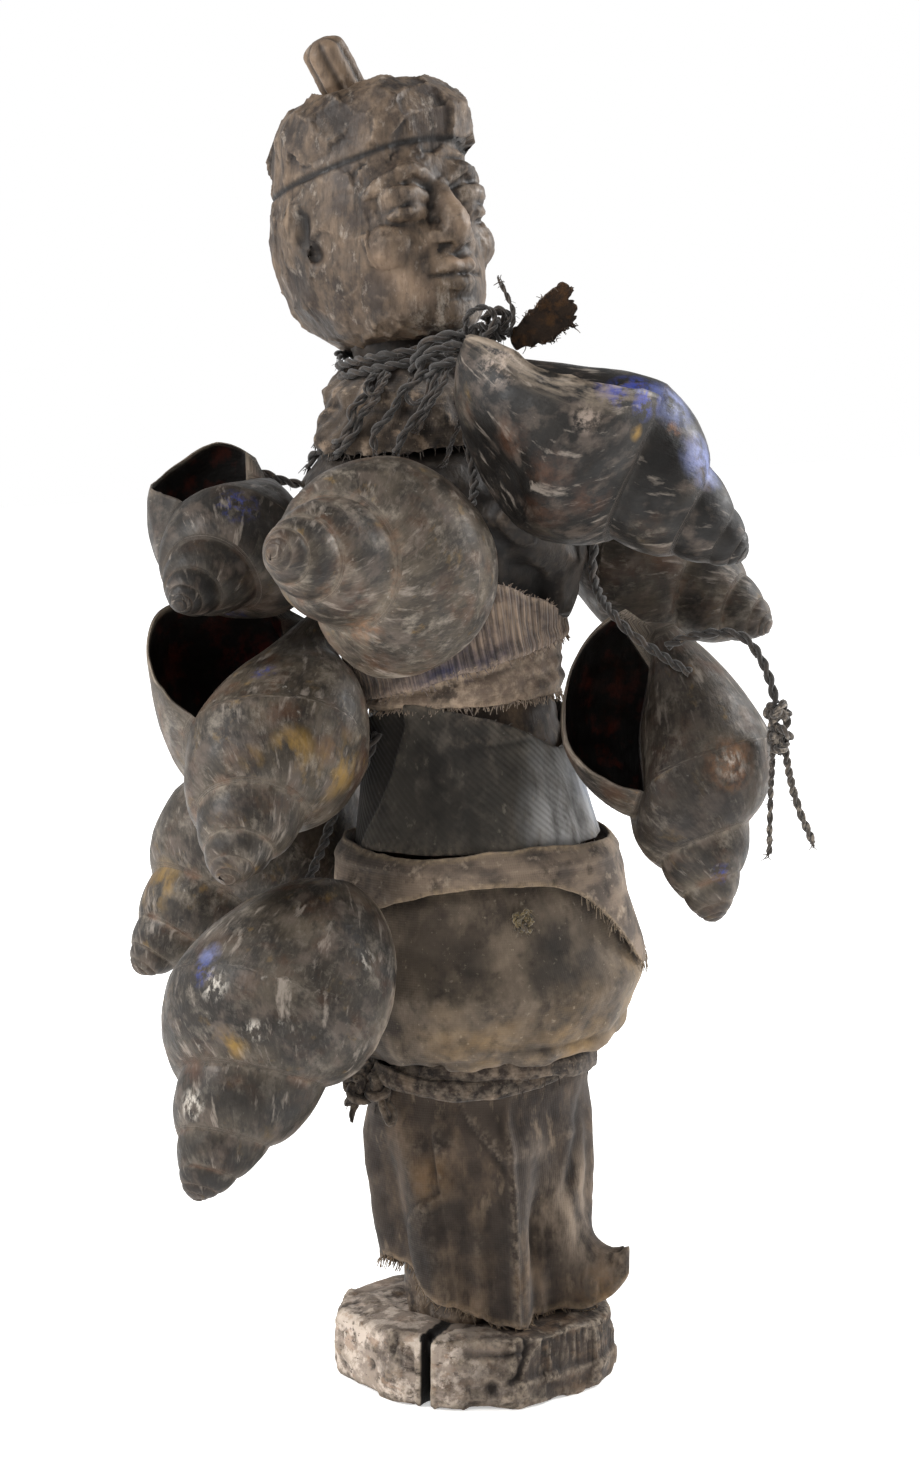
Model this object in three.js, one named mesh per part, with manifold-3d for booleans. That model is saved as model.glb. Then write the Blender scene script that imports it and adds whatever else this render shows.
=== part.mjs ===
// Bocio figure: a carved wooden figure on a round base, bound in strips of cloth and
// hung with eight large snail shells on cords. Millimetres, +Z up, the figure faces -Y.
import * as THREE from 'three';
import { mergeVertices } from 'three/addons/utils/BufferGeometryUtils.js';
import Module from 'manifold-3d';

const wasm = await Module();
wasm.setup();

// Driving dimensions of the figure
const gap = 0.4;                      // air between neighbouring pieces
const baseHeight = 27;
const baseHalf = [55, 51];            // half width and half depth of the round base
const baseSides = 11;
const splitWidth = 3.2;               // the old crack in the base
const splitAngle = -133;              // degrees round the base from +X
const splitReach = 26;                // how far the crack runs in from the rim
const headCentre = [-18, 38, 427];
const headTurn = 12;                  // degrees the head turns to its own left
const headTilt = 18;                  // degrees the chin is lifted
const headSides = 16;
const capBottom = 27;                 // heights of the cap over the head's centre
const capTop = 54;
const pegDiameter = 13;
const pegFoot = [-23, 50, 470];       // foot of the peg, down in its socket
const pegTip = [-38.5, 51, 497];
const shellWall = 2.2;
const tuftCentre = [-9.5, -47.6, 183];  // the knot of thread on the belly
const mouthDepth = 0.42;              // how far the hollow runs back from the lip, in turns
const ringSteps = 20;                 // facets round the body

// The bound body: height, centre x, centre y, half width, half depth over the cloth
const bodyStations = [
  [28, 2, -2, 37, 35],
  [50, 2, -2, 40, 34],
  [105, 0, 0, 46, 36],
  [122, 1, -2, 45, 36],
  [155, 2, -4, 56, 48],
  [193, 0, -2, 52, 41],
  [234, -3, 2, 42, 34],
  [261, -5, 6, 40, 31],
  [300, -8, 12, 48, 30],
  [340, -12, 18, 50, 30],
  [352, -13, 20, 44, 27],
  [365, -14, 23, 29, 25],
  [385, -16, 29, 27, 27],
];

// How deep the wood lies under that surface, by height
const woodDepths = [
  [100, 12],
  [122, 8],
  [155, 10],
  [193, 10],
  [204, 9],
  [206, 3.4],
  [298, 5],
  [312, 1],
  [338, 0],
  [350, 6],
  [385, 6],
];

// Shells: length, tip of the spire, direction from the tip to the mouth's far end,
// and the direction that the mouth opens in
const shells = [
  {
    name: 'shell_shoulder',
    length: 132,
    tip: [60, -92, 313],
    along: [-0.64, 0.49, 0.59],
    opens: [0.71, 0.11, 0.69],
  },
  {
    name: 'shell_behind_shoulder',
    length: 124,
    tip: [104, -44, 280],
    along: [-0.45, 0.82, 0.36],
    opens: [-0.80, -0.19, -0.57],
  },
  {
    name: 'shell_open',
    length: 123,
    tip: [48, -88, 180],
    along: [-0.01, 0.36, 0.93],
    opens: [-0.22, -0.91, 0.35],
  },
  {
    name: 'shell_chest',
    length: 125,
    tip: [-133, -85, 328],
    along: [0.88, 0.46, -0.11],
    opens: [-0.45, 0.89, 0.10],
  },
  {
    name: 'shell_left_upper',
    length: 105,
    tip: [-127, -5, 299],
    along: [0.70, 0.61, 0.36],
    opens: [0.05, -0.55, 0.84],
  },
  {
    name: 'shell_left_middle',
    length: 130,
    tip: [-126, -38, 204],
    along: [0.54, 0.55, 0.64],
    opens: [-0.23, -0.64, 0.74],
  },
  {
    name: 'shell_left_lower',
    length: 120,
    tip: [-112, 69, 150],
    along: [0.71, -0.01, 0.70],
    opens: [0.29, 0.91, -0.29],
  },
  {
    name: 'shell_hip',
    length: 132,
    tip: [-139, -35, 90],
    along: [0.52, 0.18, 0.83],
    opens: [0.69, 0.48, -0.54],
  },
];

// Small helpers
const rad = (degrees) => degrees * Math.PI / 180;
const mix = (a, b, t) => a + (b - a) * t;
const clamp = (x, low, high) => Math.min(high, Math.max(low, x));
const smooth = (x, low, high) => {
  const t = clamp((x - low) / (high - low), 0, 1);
  return t * t * (3 - 2 * t);
};
const hump = (angle, centre, width) => {
  const turn = Math.atan2(Math.sin(angle - rad(centre)), Math.cos(angle - rad(centre)));
  return Math.exp(-((turn / rad(width)) ** 2));
};

function tableAt(table, z) {
  let i = 0;
  while (i < table.length - 2 && z > table[i + 1][0]) i += 1;
  const t = clamp((z - table[i][0]) / (table[i + 1][0] - table[i][0]), 0, 1);
  return table[i].slice(1).map((value, k) => mix(value, table[i + 1][k + 1], t));
}

// A point on the bound body, out millimetres proud of its surface
function bodyPoint(z, angle, out) {
  const [cx, cy, hx, hy] = tableAt(bodyStations, z);
  return [cx + (hx + out) * Math.cos(angle), cy + (hy + out) * Math.sin(angle), z];
}

// Solids from rows of points; each row is a closed loop
function solidFromRows(rows, ringOfRows) {
  const size = rows[0].length;
  const positions = rows.flat();
  const triangles = [];
  const last = ringOfRows ? rows.length : rows.length - 1;
  for (let i = 0; i < last; i += 1) {
    const next = (i + 1) % rows.length;
    for (let j = 0; j < size; j += 1) {
      const k = (j + 1) % size;
      triangles.push([i * size + j, i * size + k, next * size + k]);
      triangles.push([i * size + j, next * size + k, next * size + j]);
    }
  }
  if (!ringOfRows) {
    for (const [row, flip] of [[0, false], [rows.length - 1, true]]) {
      const middle = [0, 1, 2].map((k) => rows[row].reduce((sum, p) => sum + p[k], 0) / size);
      positions.push(middle);
      for (let j = 0; j < size; j += 1) {
        const a = row * size + j;
        const b = row * size + (j + 1) % size;
        triangles.push(flip ? [a, b, positions.length - 1] : [b, a, positions.length - 1]);
      }
    }
  }
  return solidFromTriangles(positions, triangles);
}

function solidFromTriangles(positions, triangles) {
  let volume = 0;
  for (const [a, b, c] of triangles) {
    const p = positions[a];
    const q = positions[b];
    const r = positions[c];
    volume += p[0] * (q[1] * r[2] - q[2] * r[1]) - p[1] * (q[0] * r[2] - q[2] * r[0])
      + p[2] * (q[0] * r[1] - q[1] * r[0]);
  }
  const geometry = new THREE.BufferGeometry();
  geometry.setAttribute('position', new THREE.Float32BufferAttribute(positions.flat(), 3));
  geometry.setIndex((volume < 0 ? triangles.map(([a, b, c]) => [a, c, b]) : triangles).flat());
  return solidFromGeometry(geometry);
}

function solidFromGeometry(geometry) {
  geometry.deleteAttribute('normal');
  geometry.deleteAttribute('uv');
  const merged = mergeVertices(geometry, 1e-4);
  return new wasm.Manifold(new wasm.Mesh({
    numProp: 3,
    vertProperties: Float32Array.from(merged.attributes.position.array),
    triVerts: Uint32Array.from(merged.index.array),
  }));
}

function geometryFromSolid(solid) {
  const mesh = solid.getMesh();
  const geometry = new THREE.BufferGeometry();
  geometry.setAttribute('position', new THREE.BufferAttribute(Float32Array.from(mesh.vertProperties), 3));
  geometry.setIndex(new THREE.BufferAttribute(Uint32Array.from(mesh.triVerts), 1));
  return geometry;
}

// Limbs and rods: round sections along a few points
function rod(points, radii, sides = 10, flat = 1) {
  const curve = points.map((p) => new THREE.Vector3(...p));
  const rows = curve.map((p, i) => {
    const ahead = curve[Math.min(i + 1, curve.length - 1)].clone().sub(curve[Math.max(i - 1, 0)]).normalize();
    const side = new THREE.Vector3(0, 1, 0).cross(ahead);
    if (side.length() < 0.1) side.set(1, 0, 0);
    side.normalize();
    const up = ahead.clone().cross(side);
    return Array.from({ length: sides }, (_, j) => {
      const turn = 2 * Math.PI * j / sides;
      const q = p.clone().addScaledVector(side, radii[i] * Math.cos(turn))
        .addScaledVector(up, radii[i] * flat * Math.sin(turn));
      return [q.x, q.y, q.z];
    });
  });
  return solidFromRows(rows, false);
}

function ball(centre, radii, columns = 8, rings = 5) {
  const geometry = new THREE.SphereGeometry(1, columns, rings);
  geometry.scale(...radii);
  geometry.translate(...centre);
  return solidFromGeometry(geometry);
}

// A cord is one tube with flat ends
function cord(points, diameter, steps, sides = 8) {
  const section = new THREE.Shape(Array.from({ length: sides }, (_, j) => {
    const turn = 2 * Math.PI * j / sides;
    return new THREE.Vector2(diameter / 2 * Math.cos(turn), diameter / 2 * Math.sin(turn));
  }));
  const path = new THREE.CatmullRomCurve3(points.map((p) => new THREE.Vector3(...p)));
  return solidFromGeometry(new THREE.ExtrudeGeometry(section, {
    steps,
    extrudePath: path,
    bevelEnabled: false,
  }));
}

// Cloth wound round the body: low and high give its edges, out its outer surface
function wrap({ low, high, out, thickness, levels = 5, steps = ringSteps }) {
  const rows = [];
  for (let i = 0; i < steps; i += 1) {
    const angle = 2 * Math.PI * i / steps;
    const bottom = low(angle);
    const top = high(angle);
    const outer = [];
    for (let j = 0; j <= levels; j += 1) {
      const z = mix(bottom, top, j / levels);
      outer.push(bodyPoint(z, angle, out(angle, z)));
    }
    const inner = [];
    const innerLevels = Math.max(2, Math.ceil(levels / 2));
    for (let j = innerLevels; j >= 0; j -= 1) {
      const z = mix(bottom, top, j / innerLevels);
      inner.push(bodyPoint(z, angle, out(angle, z) - thickness));
    }
    rows.push([...outer, ...inner]);
  }
  return solidFromRows(rows, true);
}

// The snail shell, in units of its length, from the tip of the spire along its axis.
// u counts turns before the lip, s runs down one whorl from seam to seam.
const turns = 3;
const turnSteps = 12;
const upperSteps = 2;
const lowerSteps = 4;
const lipLean = 1 / turnSteps;
const seamHeight = (u) => (u <= 0 ? 0.43 * 1.85 ** u : 0.43 + 0.265 * u - 0.06 * u * u);
const seamRadius = (u) => (u <= 0 ? 0.375 * seamHeight(u) ** 0.74 : 0.2008 + 0.165 * u - 0.021 * u * u);

function hermite(p, pSlope, q, qSlope, s) {
  const a = 2 * s ** 3 - 3 * s ** 2 + 1;
  const b = s ** 3 - 2 * s ** 2 + s;
  const c = -2 * s ** 3 + 3 * s ** 2;
  const d = s ** 3 - s ** 2;
  return [0, 1].map((k) => a * p[k] + b * pSlope[k] + c * q[k] + d * qSlope[k]);
}

function upperWhorl(u, s) {
  const seam = [seamRadius(u), seamHeight(u)];
  const next = [seamRadius(u + 1), seamHeight(u + 1)];
  const chord = Math.hypot(next[0] - seam[0], next[1] - seam[1]);
  return hermite(seam, [1.05 * chord, 0.5 * chord], next, [-0.05 * chord, chord], s);
}

function lowerWhorl(u, s) {
  const q = clamp(u + 1, 0, 1);
  const seam = [seamRadius(u + 1), seamHeight(u + 1)];
  const foot = [0.03 + 0.05 * q, 0.84 + 0.155 * q ** 0.8];
  const chord = Math.hypot(foot[0] - seam[0], foot[1] - seam[1]);
  return hermite(seam, [(-0.3 + 0.28 * q) * chord, (0.9 + 0.1 * q) * chord],
    foot, [(-0.3 - 0.9 * q) * chord, (1 - 0.7 * q) * chord], s);
}

const shellPoint = ([radius, height], u) => {
  const angle = 2 * Math.PI * u;
  return [radius * Math.cos(angle), radius * Math.sin(angle), height];
};

// One row across a whorl; the last turn also has the part below the seam line
function whorlRow(u, withLower) {
  const row = [];
  for (let j = 0; j <= upperSteps; j += 1) {
    const s = j / upperSteps;
    const leaning = u + lipLean * (1 - s);
    row.push(shellPoint(upperWhorl(leaning, s), leaning));
  }
  for (let j = 1; withLower && j <= lowerSteps; j += 1) {
    row.push(shellPoint(lowerWhorl(u, j / lowerSteps), u));
  }
  return row;
}

function shellOutside() {
  const count = Math.round(turns * turnSteps);
  const positions = [];
  const triangles = [];
  const rows = [];
  for (let i = count; i >= 0; i -= 1) {
    rows.push(whorlRow(-i / turnSteps, i <= turnSteps).map((p) => positions.push(p) - 1));
  }
  for (let i = 0; i < count; i += 1) {
    const here = rows[i];
    const next = rows[i + 1];
    for (let j = 0; j < Math.min(here.length, next.length) - 1; j += 1) {
      triangles.push([here[j], here[j + 1], next[j + 1]]);
      triangles.push([here[j], next[j + 1], next[j]]);
    }
  }
  // the blunt tip
  const tip = positions.push([0, 0, seamHeight(-turns) * 0.35]) - 1;
  const firstTurn = rows.slice(0, turnSteps).map((row) => row[0]);
  const rim = [...firstTurn, ...rows[0].slice(1).reverse()];
  for (let j = 0; j < rim.length; j += 1) {
    triangles.push([tip, rim[j], rim[(j + 1) % rim.length]]);
  }
  // the rounded end under the last turn
  const end = positions.push([0, 0, 0.92]) - 1;
  const lastTurn = rows.slice(count - turnSteps);
  for (let j = 0; j < turnSteps; j += 1) {
    triangles.push([lastTurn[j].at(-1), end, lastTurn[j + 1].at(-1)]);
  }
  // the face of the mouth, between the lip and the whorl that it runs over
  const lip = lastTurn.at(-1);
  const inner = [...lastTurn[0].slice(upperSteps), end];
  let i = 0;
  let j = 0;
  while (i < lip.length - 1 || j < inner.length - 1) {
    const stepLip = j === inner.length - 1 || (i + 1) / lip.length <= (j + 1) / inner.length;
    if (stepLip && i < lip.length - 1) {
      triangles.push([lip[i], lip[i + 1], inner[j]]);
      i += 1;
    } else {
      triangles.push([lip[i], inner[j + 1], inner[j]]);
      j += 1;
    }
  }
  return solidFromTriangles(positions, triangles);
}

// The hollow behind the lip, a wall's thickness inside the last turn
function shellHollow(wall) {
  const offset = (curve, s, out) => {
    const p = curve(s);
    const q = curve(s + 0.01);
    const length = Math.hypot(q[0] - p[0], q[1] - p[1]);
    return [p[0] + out * (q[1] - p[1]) / length, p[1] - out * (q[0] - p[0]) / length];
  };
  const rows = [];
  const depth = Math.round(mouthDepth * turnSteps);
  for (let i = depth; i >= -1; i -= 1) {
    const u = i >= 0 ? -i / turnSteps : 0.6 / turnSteps;
    const row = [];
    for (const s of [0.4, 0.96]) {
      const leaning = u + lipLean * (1 - s);
      row.push(shellPoint(offset((t) => upperWhorl(leaning, t), s, -wall), leaning));
    }
    for (const s of [0.25, 0.5, 0.78]) {
      row.push(shellPoint(offset((t) => lowerWhorl(u, t), s, -wall), u));
    }
    for (const s of [0.86, 0.45, 0.1]) {
      row.push(shellPoint(offset((t) => lowerWhorl(u - 1, t), s, wall * 0.3), u));
    }
    rows.push(row);
  }
  return solidFromRows(rows, false);
}

function makeShell({ length, tip, along, opens }) {
  const axis = new THREE.Vector3(...along).normalize();
  const growth = new THREE.Vector3(...opens);
  growth.addScaledVector(axis, -growth.dot(axis)).normalize();
  const lipSide = growth.clone().cross(axis);
  const place = new THREE.Matrix4().makeBasis(lipSide, growth, axis);
  place.scale(new THREE.Vector3(length, length, length));
  place.setPosition(...tip);
  return shellOutside().subtract(shellHollow(shellWall / length)).transform(place.elements);
}

// The carved figure: base, legs, trunk, arms, neck and capped head are one piece of wood
function makeBase() {
  const rows = [];
  const levels = [[0, 0.985], [3, 1], [baseHeight - 3, 1], [baseHeight, 0.955]];
  for (const [z, size] of levels) {
    rows.push(Array.from({ length: baseSides }, (_, k) => {
      const angle = 2 * Math.PI * (k + 0.22 * Math.sin(2.3 * k)) / baseSides;
      const reach = size * (1 + 0.03 * Math.sin(1.7 * k + 0.6));
      return [baseHalf[0] * reach * Math.cos(angle), baseHalf[1] * reach * Math.sin(angle), z];
    }));
  }
  const base = solidFromRows(rows, false);
  const slot = new THREE.BoxGeometry(splitReach * 2, splitWidth, baseHeight * 3);
  slot.translate(baseHalf[1] * 1.02, 0, 0);
  slot.rotateZ(rad(splitAngle));
  return base.subtract(solidFromGeometry(slot));
}

function makeLegs() {
  const legs = [-1, 1].map((side) => rod(
    [[side * 19 + 2, 0, baseHeight - 1], [side * 19 + 2, 0, 60], [side * 16, -2, 118]],
    [13.5, 12.5, 15],
    8,
    1.15,
  ));
  const feet = [-1, 1].map((side) => ball([side * 17 + 2, -9, baseHeight + 1], [12, 18, 6], 7, 4));
  return [...legs, ...feet];
}

function makeTrunk() {
  const heights = [100, 122, 155, 193, 204, 206, 234, 261, 300, 338, 350];
  const rows = heights.map((z) => {
    const depth = tableAt(woodDepths, z)[0];
    return Array.from({ length: ringSteps }, (_, k) => bodyPoint(z, 2 * Math.PI * k / ringSteps, -depth));
  });
  return solidFromRows(rows, false);
}

function makeArms() {
  return [
    rod([[27, 16, 341], [33, 8, 328], [35, 0, 314], [31, -5, 308], [20, -13, 313], [4, -19, 325], [-4, -20, 331]],
      [9, 10, 9.5, 9, 8.5, 8, 6], 8),
    rod([[-50, 20, 341], [-56, 12, 328], [-56, 4, 314], [-52, -2, 308], [-40, -13, 312], [-26, -18, 322], [-20, -19, 328]],
      [9, 10, 9.5, 9, 8.5, 8, 6], 8),
  ];
}

// The head, made upright about its centre: x to its left, y to its back
function makeHead() {
  const levels = [
    [-42, 19, -24, 12],
    [-30, 27, -34, 36],
    [-16, 32, -36, 46],
    [4, 34, -35, 47],
    [18, 33, -35, 44],
    [32, 30, -30, 39],
  ];
  const rows = levels.map(([z, half, front, back]) => Array.from({ length: headSides }, (_, k) => {
    const turn = 2 * Math.PI * k / headSides;
    const middle = (front + back) / 2;
    const deep = (back - front) / 2;
    const square = (v) => Math.sign(v) * Math.abs(v) ** 0.88;
    return [half * square(Math.cos(turn)), middle + deep * square(Math.sin(turn)), z];
  }));
  const skull = solidFromRows(rows, false);
  const nose = rod([[0, -30, 9], [0, -35, 0], [0, -38, -9], [0, -33, -14]], [4, 4.5, 6.5, 6], 7);
  const features = [nose];
  for (const side of [-1, 1]) {
    features.push(ball([side * 13, -31, 4], [9, 5, 5]));
    features.push(rod([[side * 4, -34, 12], [side * 14, -32.5, 14.5], [side * 23, -25, 11]], [2.4, 2.8, 2], 5));
    features.push(ball([side * 32, 6, 0], [5, 8, 13], 7, 4));
  }
  features.push(rod([[-12, -31, -21], [0, -37, -20], [12, -31, -21]], [1.6, 3, 1.6], 6));
  features.push(rod([[-10, -30, -26], [0, -36, -26], [10, -30, -26]], [1.6, 3.2, 1.6], 6));
  features.push(ball([0, -28, -36], [11, 7, 8], 7, 4));
  const capSides = 9;
  const capLevels = [[capBottom - 6, 29, 34], [capBottom, 35, 42], [capBottom + 9, 36.5, 44], [capTop - 8, 34, 40],
    [capTop, 24, 28]];
  const cap = solidFromRows(capLevels.map(([z, half, deep], i) => Array.from({ length: capSides }, (_, k) => {
    const turn = 2 * Math.PI * (k + 0.3 * Math.sin(1.9 * k + i * 0.3)) / capSides;
    return [half * Math.cos(turn), 4 + deep * Math.sin(turn), z];
  })), false);
  const place = new THREE.Matrix4().makeTranslation(...headCentre)
    .multiply(new THREE.Matrix4().makeRotationZ(rad(headTurn)))
    .multiply(new THREE.Matrix4().makeRotationX(rad(-headTilt)));
  return [skull, ...features, cap].map((solid) => solid.transform(place.elements));
}

function makeFigure() {
  const neck = rod([[-14, 22, 346], [-15, 26, 372], [-17, 33, 396]], [17, 17, 19], 12);
  const whole = [makeBase(), ...makeLegs(), makeTrunk(), ...makeArms(), neck, ...makeHead()]
    .reduce((sum, solid) => sum.add(solid));
  return whole.subtract(rod([pegFoot, pegTip], [pegDiameter / 2 + gap, pegDiameter / 2 + gap], 12));
}

// The peg stands in its socket, clear of the bottom
function makePeg() {
  const length = Math.hypot(...pegTip.map((v, k) => v - pegFoot[k]));
  const foot = pegFoot.map((v, k) => mix(v, pegTip[k], 0.8 / length));
  const nearTip = pegFoot.map((v, k) => mix(v, pegTip[k], 1 - 4 / length));
  return rod([foot, nearTip, pegTip], [pegDiameter / 2, pegDiameter / 2, pegDiameter / 2 - 2], 12);
}

// Cloth
const slant = (angle, centre) => Math.cos(angle - rad(centre));

const cloths = {
  leg_cloth: {
    low: (a) => 28 + 20 * hump(a, 178, 42) + 6 * hump(a, 90, 70) + 4 * hump(a, -15, 20),
    high: () => 113,
    out: (a, z) => 2.2 * Math.sin(7 * a + 0.8) * smooth(z, 112, 80) + 3 * hump(a, -100, 12) * smooth(z, 110, 70)
      + 20 * hump(a, -52, 11) * smooth(z, 68, 38) - 3 * smooth(z, 95, 112),
    thickness: 2.6,
    levels: 5,
  },
  hip_cloth: {
    low: (a) => 122.5 + 1.5 * Math.sin(9 * a),
    high: () => 203,
    out: (a, z) => 1.6 * Math.sin(11 * a) * smooth(z, 150, 124) + 4 * smooth(z, 124, 134) * smooth(z, 175, 150)
      - 3.4 * smooth(z, 186, 200),
    thickness: 4.4,
    levels: 6,
  },
  waist_flap: {
    low: (a) => 196 - 34 * hump(a, -30, 26) - 12 * hump(a, 178, 40) - 6 * hump(a, 80, 40),
    high: (a) => 207 + 1.2 * Math.sin(3 * a),
    out: (a, z) => 5.2 + 1.0 * Math.sin(5 * a + 1) + 2.6 * smooth(z, 190, 165),
    thickness: 2.4,
    levels: 3,
  },
  torso_cloth: {
    low: () => 206.6,
    high: (a) => 245 - 1.6 * slant(a, -30) - 30 * hump(a, 192, 15),
    out: (a, z) => -0.3 + 0.5 * Math.sin(4 * a + z / 16),
    thickness: 2.2,
    levels: 3,
  },
  lower_band: {
    low: (a) => 252.5 + 5 * slant(a, -30),
    high: (a) => 269 + 11 * slant(a, -30),
    out: (a) => 0.2 + 0.5 * Math.sin(6 * a),
    thickness: 2.6,
    levels: 2,
  },
  chest_band: {
    low: (a) => 269.6 + 11 * slant(a, -30),
    high: (a) => 287.5 + 9 * slant(a, -30),
    out: (a) => 1.4 + 0.5 * Math.sin(5 * a + 2),
    thickness: 3,
    levels: 2,
  },
};

function makeNeckCloth() {
  return wrap({
    low: (a) => 353 + 1.5 * Math.sin(3 * a),
    high: (a) => 373 + 2 * slant(a, -30),
    out: (a, z) => 1.5 + 1.6 * Math.sin(5 * a + z / 9) + 1.5 * smooth(z, 356, 368),
    thickness: 4.4,
    levels: 3,
  });
}

// Cords
const rope = 3.6;                     // the shells' cords
const tieRope = 6.5;                  // the twisted cloth rope that ties the skirt on
const tieSweep = 310;                 // degrees that it shows round the hips
const neckTurns = 2;

function makeHipTie() {
  const points = [];
  const steps = 18;
  for (let i = 0; i <= steps; i += 1) {
    const angle = rad(215 + tieSweep * i / steps);
    points.push(bodyPoint(115.6 + 0.9 * Math.sin(3 * angle), angle, 2.2));
  }
  return cord(points, tieRope, 18);
}

function makeHipKnot() {
  const lumps = [[-49, 3, 113, 6], [-53, -1, 108, 5], [-46, -6, 109, 5.5]];
  return lumps.map(([x, y, z, r]) => ball([x - 1.5, y, z], [r, r, r * 1.1], 7, 4)).reduce((sum, lump) => sum.add(lump));
}

function makeNeckCord() {
  const points = [];
  const steps = 16 * neckTurns;
  for (let i = 0; i <= steps; i += 1) {
    const angle = rad(150 + 360 * neckTurns * i / steps);
    points.push(bodyPoint(378.6 + 4 * neckTurns * i / steps + 2 * slant(angle, -30)
      - 2.5 * slant(angle, 90), angle, -3));
  }
  return cord(points, rope, 9 * neckTurns);
}

// The lump of knots under the chin, with thin ends hanging over the chest
const knotCentre = [-9, -17, 390];
const strandEnds = [[-45, -13, 352], [-37, -17, 349], [-48, -3, 360], [-15.7, -24.7, 383.9]];

function makeThroatKnot() {
  const [x, y, z] = knotCentre;
  const lump = rod([[x + 1, y - 5, z + 2], [x, y + 1, z], [x - 1, y + 9, z - 2], [x - 5, y + 20, z - 2.5]],
    [4, 7, 6, 3.5], 7);
  const parts = [lump, ball([x - 6, y + 3, z - 4], [6, 6, 6], 7, 4), ball([x + 6, y + 1, z + 4], [6, 6, 6], 7, 4)];
  for (const end of strandEnds) {
    const middle = [mix(x, end[0], 0.5), mix(y, end[1], 0.5) - 4, mix(z, end[2], 0.42)];
    parts.push(rod([[x, y, z - 2], middle, end], [1.5, 1.5, 1.2], 4));
  }
  return parts.reduce((sum, part) => sum.add(part));
}

// A stiff ragged strip that sticks up from the knots
function makeStrap() {
  const line = [[1.9, -21.7, 395], [6, -29, 400], [11, -33.5, 404], [17, -37, 407]];
  const halfWidth = [5, 8, 10, 9];
  const rows = line.map(([x, y, z], i) => {
    const w = halfWidth[i];
    return [[-0.35, -0.2, 0.9], [0.35, 0.2, -0.9]].flatMap(([ax, ay, az], k) => [-1, 1].map((s) => {
      const face = s * (k === 0 ? 1 : -1) * 1.2;
      return [x + ax * w, y + ay * w + face, z + az * w];
    }));
  });
  return solidFromRows(rows, false);
}

// Cords by their own routes; the free ones hang from the open shell
const tail = {
  route: [[41, -63.5, 281.9], [44.5, -66.5, 284.2], [50, -70, 286], [56, -77, 287.5], [61, -83.5, 286],
    [63.5, -89.5, 280], [65, -93.5, 273], [66, -95.5, 266.5]],
  knot: [[66, -95.5, 265.8], [67, -96, 262], [68, -96.5, 256], [68, -96.5, 250], [68, -96.5, 246]],
  endLong: [[66, -95.5, 245.5], [65.5, -95.5, 239], [65, -95.5, 227], [64.5, -96, 209]],
  endWide: [[70, -97, 245.5], [71.5, -98.5, 236], [73.5, -101.5, 225], [77, -105.5, 213]],
};
const heldCords = {
  cord_open_shell: [[6, 2, 370], [16, 0, 360], [27, -3, 349], [36, -8, 336], [42, -12, 320], [37, -19, 306],
    [33, -30, 298], [30.5, -42, 293], [33, -50, 286.5], [36, -56, 282.5], [38.5, -61.5, 279.5], [41, -67.5, 276.4],
    [44.5, -73.5, 273.5]],
  cord_chest_shell: [[-10, -15, 380.7], [-13, -15, 370], [-14.5, -16, 357], [-15, -20, 346], [-20, -30, 337],
    [-29.5, -39.3, 327.7]],
  cord_hip_shell: [[-46, -5, 249], [-49.4, -4, 241], [-53, -1, 231], [-56, 8, 220], [-66, 1, 207], [-78.5, -10.6, 196.4]],
  cord_left_lower_shell: [[-39.6, 22.1, 252.3], [-45, 27, 251], [-46, 38, 247], [-43, 46, 240], [-41.3, 49.4, 232.3]],
  cord_back_shell: [[2.5, 44.7, 379.2], [9, 51, 375], [22, 58, 366], [36, 60, 352], [48, 54, 340], [53.2, 50.5, 329.8]],
  cord_left_upper_shell: [[-13, 52.6, 378.4], [-13, 59, 372], [-15, 61, 362], [-17, 62, 350], [-23, 62, 340],
    [-34, 61.4, 334], [-46, 60.8, 334.6], [-58.3, 62, 339]],
  cord_left_middle_shell: [[-23.9, 51.1, 378.3], [-25, 57.5, 374.5], [-29, 60, 362], [-34, 58, 350], [-41, 52, 328],
    [-50, 45, 306], [-58, 39, 293], [-63.2, 37.3, 288.3]],
};

const woodMaterial = new THREE.MeshStandardMaterial({ color: 0x4f4338, roughness: 0.75, metalness: 0 });
const shellMaterial = new THREE.MeshStandardMaterial({ color: 0x6d655a, roughness: 0.5, metalness: 0 });
const clothMaterial = new THREE.MeshStandardMaterial({ color: 0x57504a, roughness: 0.95, metalness: 0 });
const cordMaterial = new THREE.MeshStandardMaterial({ color: 0x3d3833, roughness: 0.9, metalness: 0 });

const figure = new THREE.Group();

function addPiece(name, solid, material) {
  const mesh = new THREE.Mesh(geometryFromSolid(solid), material);
  mesh.name = name;
  figure.add(mesh);
}

addPiece('carved_figure', makeFigure(), woodMaterial);
addPiece('cap_peg', makePeg(), woodMaterial);
for (const shell of shells) {
  addPiece(shell.name, makeShell(shell), shellMaterial);
}
for (const [name, cloth] of Object.entries(cloths)) {
  addPiece(name, wrap(cloth), clothMaterial);
}
addPiece('neck_cloth', makeNeckCloth(), clothMaterial);
addPiece('hip_tie', makeHipTie(), clothMaterial);
addPiece('hip_knot', makeHipKnot(), clothMaterial);
addPiece('belly_tuft', ball(tuftCentre, [4, 3, 4], 7, 4), cordMaterial);
addPiece('neck_cord', makeNeckCord(), cordMaterial);
addPiece('throat_knot', makeThroatKnot(), cordMaterial);
addPiece('strap_tail', makeStrap(), clothMaterial);
for (const [name, route] of Object.entries(heldCords)) {
  addPiece(name, cord(route, rope, route.length + 1), cordMaterial);
}
addPiece('tail_cord', cord(tail.route, rope, 11), cordMaterial);
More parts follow.
